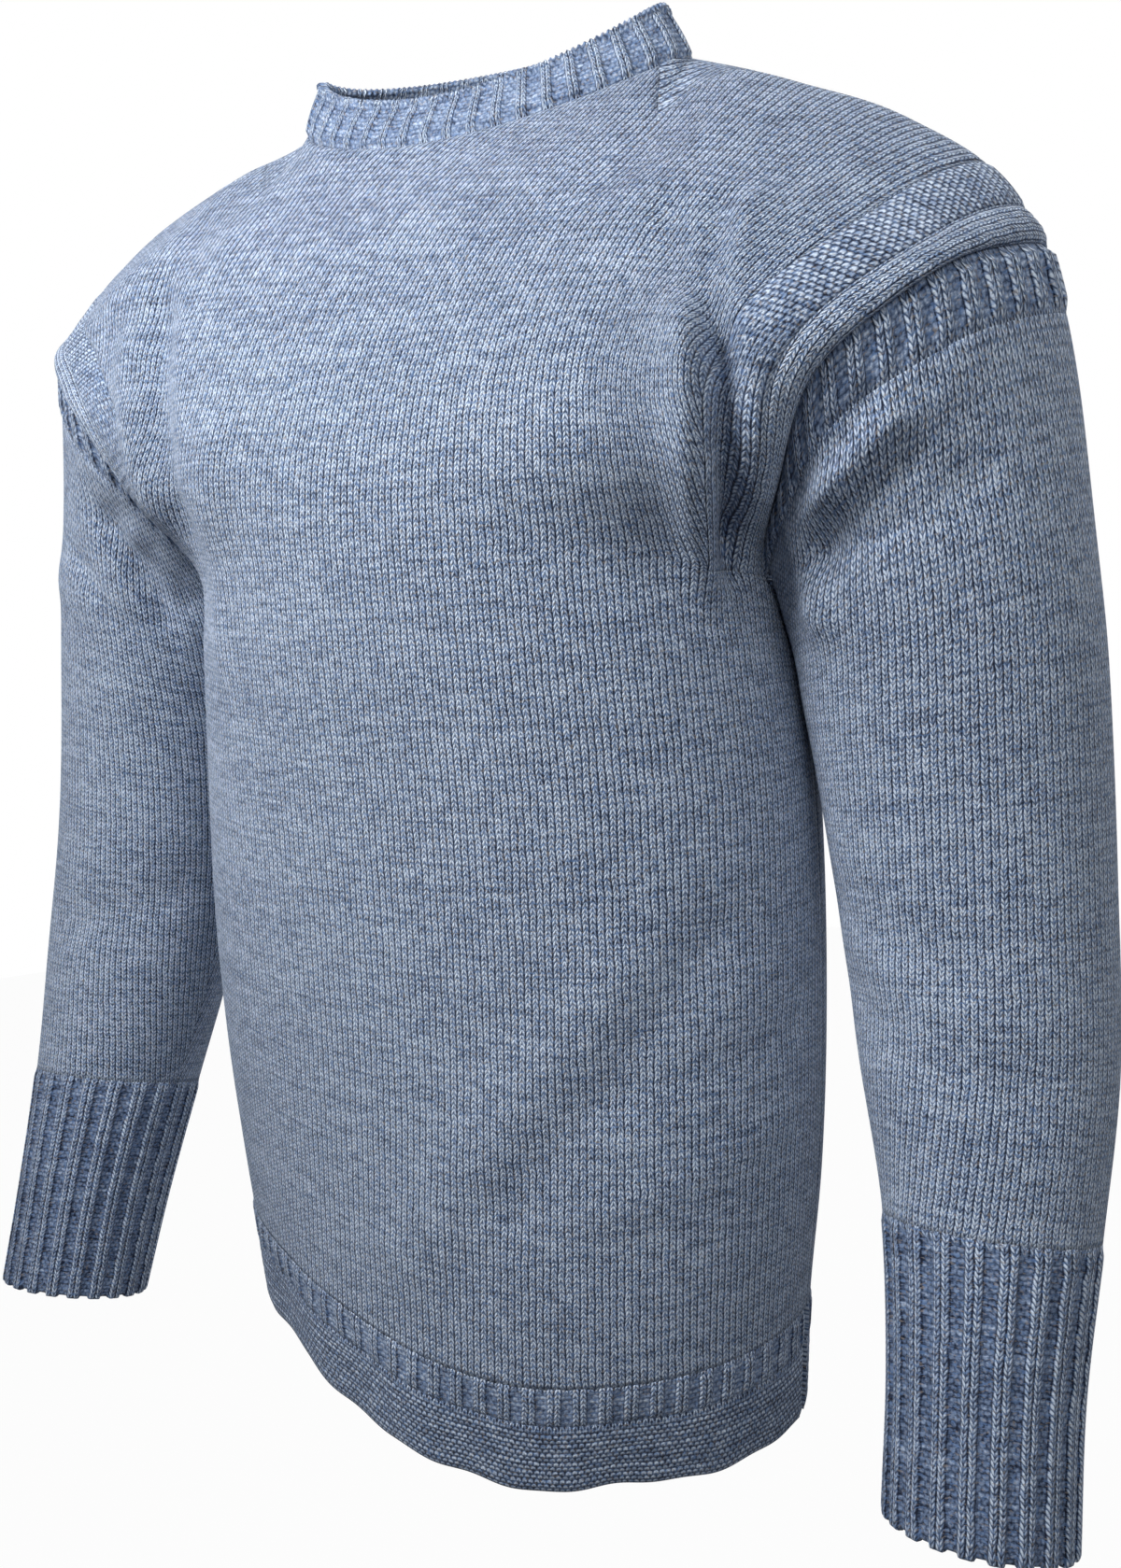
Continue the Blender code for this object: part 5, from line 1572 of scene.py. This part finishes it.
@dataclass
class HemStrip(Piece):
    """Strip of the hem between two heights, open at the sides for the slits."""

    side: int = -1
    bottom: float = 0.0
    top: float = WELT_HIGH
    wall: float = WALL
    rows: int = 20
    columns: int = 300
    slit: float = 0.004         # half width of the slit at its side
    fade: float = 0.004         # its knitting turns plain over this way at the top
    uneven: Tuple[Triple, ...] = ((0.0010, 0.21, 0.8), (0.0007, 0.53, 2.0))
    raised: float = 0.0006
    straight: float = 0.03      # height above which the edge's unevenness has gone

    def relief(self, u: Array, h: Array) -> Array:
        """How far the strip stands proud."""
        raise NotImplementedError

    def grids(self) -> Cloth:
        """Rows up from the edge."""
        reach = BODY.side_wale[self.side] - self.slit / HALF_ROW
        levels = np.linspace(self.bottom, self.top + SEAM_LAP, self.rows)
        w, h = np.meshgrid(np.linspace(-reach, reach, self.columns + 1), levels)
        u = w * HALF_ROW * BULGE / WALE
        uneven = sum(high * np.sin(u * rate + start) for high, rate, start in self.uneven) + self.raised
        level = h + np.maximum(uneven, -0.001) * (1 - smooth(0.0, self.straight, h))
        points = BODY.points(w, level, self.side) * hands(w)
        normals = BODY.normals(w, level, self.side) * hands(w)
        outer, inner = shell(points, normals, "body", False, self.wall, self.relief(u, h))
        return Cloth(outer, inner, u, h / COURSE, clear=1 - smooth(self.top - self.fade, self.top, h))


@dataclass
class HemRib(HemStrip):
    """Short ribbing above the welt."""

    bottom: float = WELT_HIGH
    top: float = WELT_HIGH + HEM_RIB_HIGH
    columns: int = 480
    rows: int = 11
    high: float = 0.0019
    sunk: float = 0.0006

    def relief(self, u: Array, h: Array) -> Array:
        """Ribs that die out at both ends."""
        ends = smooth(self.bottom, self.bottom + 0.003, h) * (1 - smooth(self.top - 0.005, self.top, h))
        return (rib_wave(u) * self.high - self.sunk) * ends


@dataclass
class Welt(HemStrip):
    """Garter welt."""

    rows: int = 34
    columns: int = 280
    wall: float = 0.0034
    proud: float = 0.0006
    ridge: float = 0.0004
    edge: Pair = (0.003, 0.0010)     # width of its rounding, and how much thinner it is

    def relief(self, u: Array, h: Array) -> Array:
        """Fine ridges that run round the hem, and a rounded edge."""
        width, thinner = self.edge
        relief = self.proud + self.ridge * ridges(h, 2 * COURSE, 0.6)
        relief -= thinner * (1 - smooth(0.0, width, h))
        return relief - self.proud * smooth(self.top - width, self.top, h)


@dataclass(frozen=True)
class Light:
    """A square soft light. spread: width of its beam in degrees."""

    name: str
    place: Triple
    size: float
    power: float
    spread: float = 180.0

    def build(self, target: Triple) -> None:
        """Makes the light, looking at the target."""
        data = bpy.data.lights.new(self.name, "AREA")
        data.size = self.size
        data.energy = self.power
        data.spread = math.radians(self.spread)
        made = bpy.data.objects.new(self.name, data)
        made.location = self.place
        made.rotation_euler = (Vector(target) - Vector(self.place)).to_track_quat("-Z", "Y").to_euler()
        bpy.context.scene.collection.objects.link(made)


LIGHTS = (
    Light("key", (-0.34, -0.76, 0.40), 0.5, 3.0, 80.0),
    Light("top", (0.5, -0.5, 1.1), 0.9, 2.5),
    Light("fill", (1.0, -1.0, 0.5), 0.9, 5.5),
    Light("back", (0.7, 1.6, 0.75), 1.3, 17.0),
    Light("far_back", (-1.25, 1.05, 0.45), 1.2, 9.0),
)


@dataclass(frozen=True)
class Studio:
    """Plain pale floor and backdrop, soft light and the camera."""

    azimuth: float = 26.51
    elevation: float = 7.97
    roll: float = -1.763
    distance: float = 0.7775
    aside: float = 0.0358
    aim: float = -0.3576
    lens: float = 30.25
    floor: float = -1.25
    floor_radius: float = 3.2
    floor_colour: Four = (0.28, 0.28, 0.29, 1)
    floor_glow: float = 0.97        # how much of the floor looks plain white to the camera
    ambient: float = 0.18
    target: Triple = (0.0, 0.0, -0.28)

    def camera(self) -> None:
        """Camera at the viewing angle."""
        turn = (Matrix.Rotation(math.radians(self.azimuth), 3, "Z")
                @ Matrix.Rotation(math.radians(90 - self.elevation), 3, "X")
                @ Matrix.Rotation(math.radians(self.roll), 3, "Z"))
        data = bpy.data.cameras.new("camera")
        data.lens = self.lens
        data.sensor_fit = "VERTICAL"
        data.sensor_height = 36.0
        data.clip_start = 0.01
        made = bpy.data.objects.new("camera", data)
        place = turn.col[2] * self.distance + turn.col[0] * self.aside
        place.z += self.aim
        made.matrix_world = Matrix.Translation(place) @ turn.to_4x4()
        bpy.context.scene.collection.objects.link(made)
        bpy.context.scene.camera = made

    def stage(self) -> None:
        """A flat round floor, mostly plain white to the camera so that it doesn't light the wool."""
        bpy.ops.mesh.primitive_circle_add(vertices=96, radius=self.floor_radius, fill_type="NGON",
                                          location=(0, 0, self.floor))
        floor = bpy.context.object
        floor.name = "floor"
        bpy.ops.object.transform_apply(location=True)
        made = bpy.data.materials.new("pale_floor")
        made.use_nodes = True
        tree = made.node_tree
        shader = tree.nodes["Principled BSDF"]
        shader.inputs["Base Color"].default_value = self.floor_colour
        shader.inputs["Roughness"].default_value = 0.9
        glow = add(tree, "Emission", {}).outputs[0]
        seen = add(tree, "LightPath", {}).outputs["Is Camera Ray"]
        share = add(tree, "Math", {0: seen, 1: self.floor_glow}, operation="MULTIPLY").outputs[0]
        mix = add(tree, "MixShader", {0: share, 1: shader.outputs[0], 2: glow})
        tree.links.new(mix.outputs[0], tree.nodes["Material Output"].inputs[0])
        floor.data.materials.append(made)

    def world(self) -> None:
        """A dim sky that looks white to the camera."""
        world = bpy.data.worlds.new("studio")
        world.use_nodes = True
        tree = world.node_tree
        seen = add(tree, "LightPath", {}).outputs["Is Camera Ray"]
        strength = add(tree, "MapRange", {"Value": seen, "To Min": self.ambient, "To Max": 1.0})
        tree.links.new(strength.outputs[0], tree.nodes["Background"].inputs[1])
        tree.nodes["Background"].inputs[0].default_value = (1.0, 1.0, 1.0, 1)
        bpy.context.scene.world = world

    def build(self) -> None:
        """Everything that isn't the object."""
        self.camera()
        self.stage()
        self.world()
        for light in LIGHTS:
            light.build(self.target)
        bpy.context.scene.view_settings.view_transform = "Standard"


def pieces() -> List[Piece]:
    """Every knitted piece, in the order in which a knitter would work them."""
    made: List[Piece] = []
    for end, side in (("front", -1), ("back", 1)):
        made += [
            Welt(f"hem_welt_{end}", WELTED, "garter_knit", (0.500, 0.039), side=side),
            HemRib(f"hem_rib_{end}", HEM_RIB_WOOL, "rib_knit", (0.500, 0.021), side=side),
            Panel(f"{end}_panel", PLAIN, "plain_knit", (0.530, 0.655), side=side,
                  lean=16.0 if side < 0 else 0.0),
        ]
    made.append(Collar("collar", NECK_RIB, "rib_knit", (0.500, 0.030)))
    for hand, mirror in (("left", False), ("right", True)):
        made += [
            GarterBand(f"garter_band_{hand}", GARTER, "garter_knit", (0.027, 0.540), mirror=mirror),
            EdgeBand(f"edge_band_{hand}", PLAIN, "plain_knit", (0.021, 0.560), mirror=mirror),
            NeckGusset(f"neck_gusset_{hand}", PLAIN, "plain_knit", (0.085, 0.062), 0.0030, mirror=mirror,
                       lean=112.0 if mirror else 76.0),
            HeadRib(f"sleeve_rib_{hand}", HEAD_RIB_WOOL, "rib_knit", (0.460, 0.022), mirror=mirror),
            SleeveTube(f"sleeve_{hand}", PLAIN, "plain_knit", (0.460, 0.378), 0.150, mirror=mirror),
            UnderarmGusset(f"underarm_gusset_{hand}", PLAIN, "plain_knit", (0.060, 0.145), 0.0045,
                           mirror=mirror),
            Cuff(f"cuff_{hand}", RIB, "rib_knit", (0.285, 0.140), mirror=mirror),
        ]
    return made


def main() -> None:
    """Builds the pieces, then the stage."""
    logging.basicConfig(level=logging.INFO, format="%(message)s")
    Studio().build()
    bpy.ops.object.select_all(action="DESELECT")
    for piece in pieces():
        piece.build()


if __name__ == "__main__":
    main()
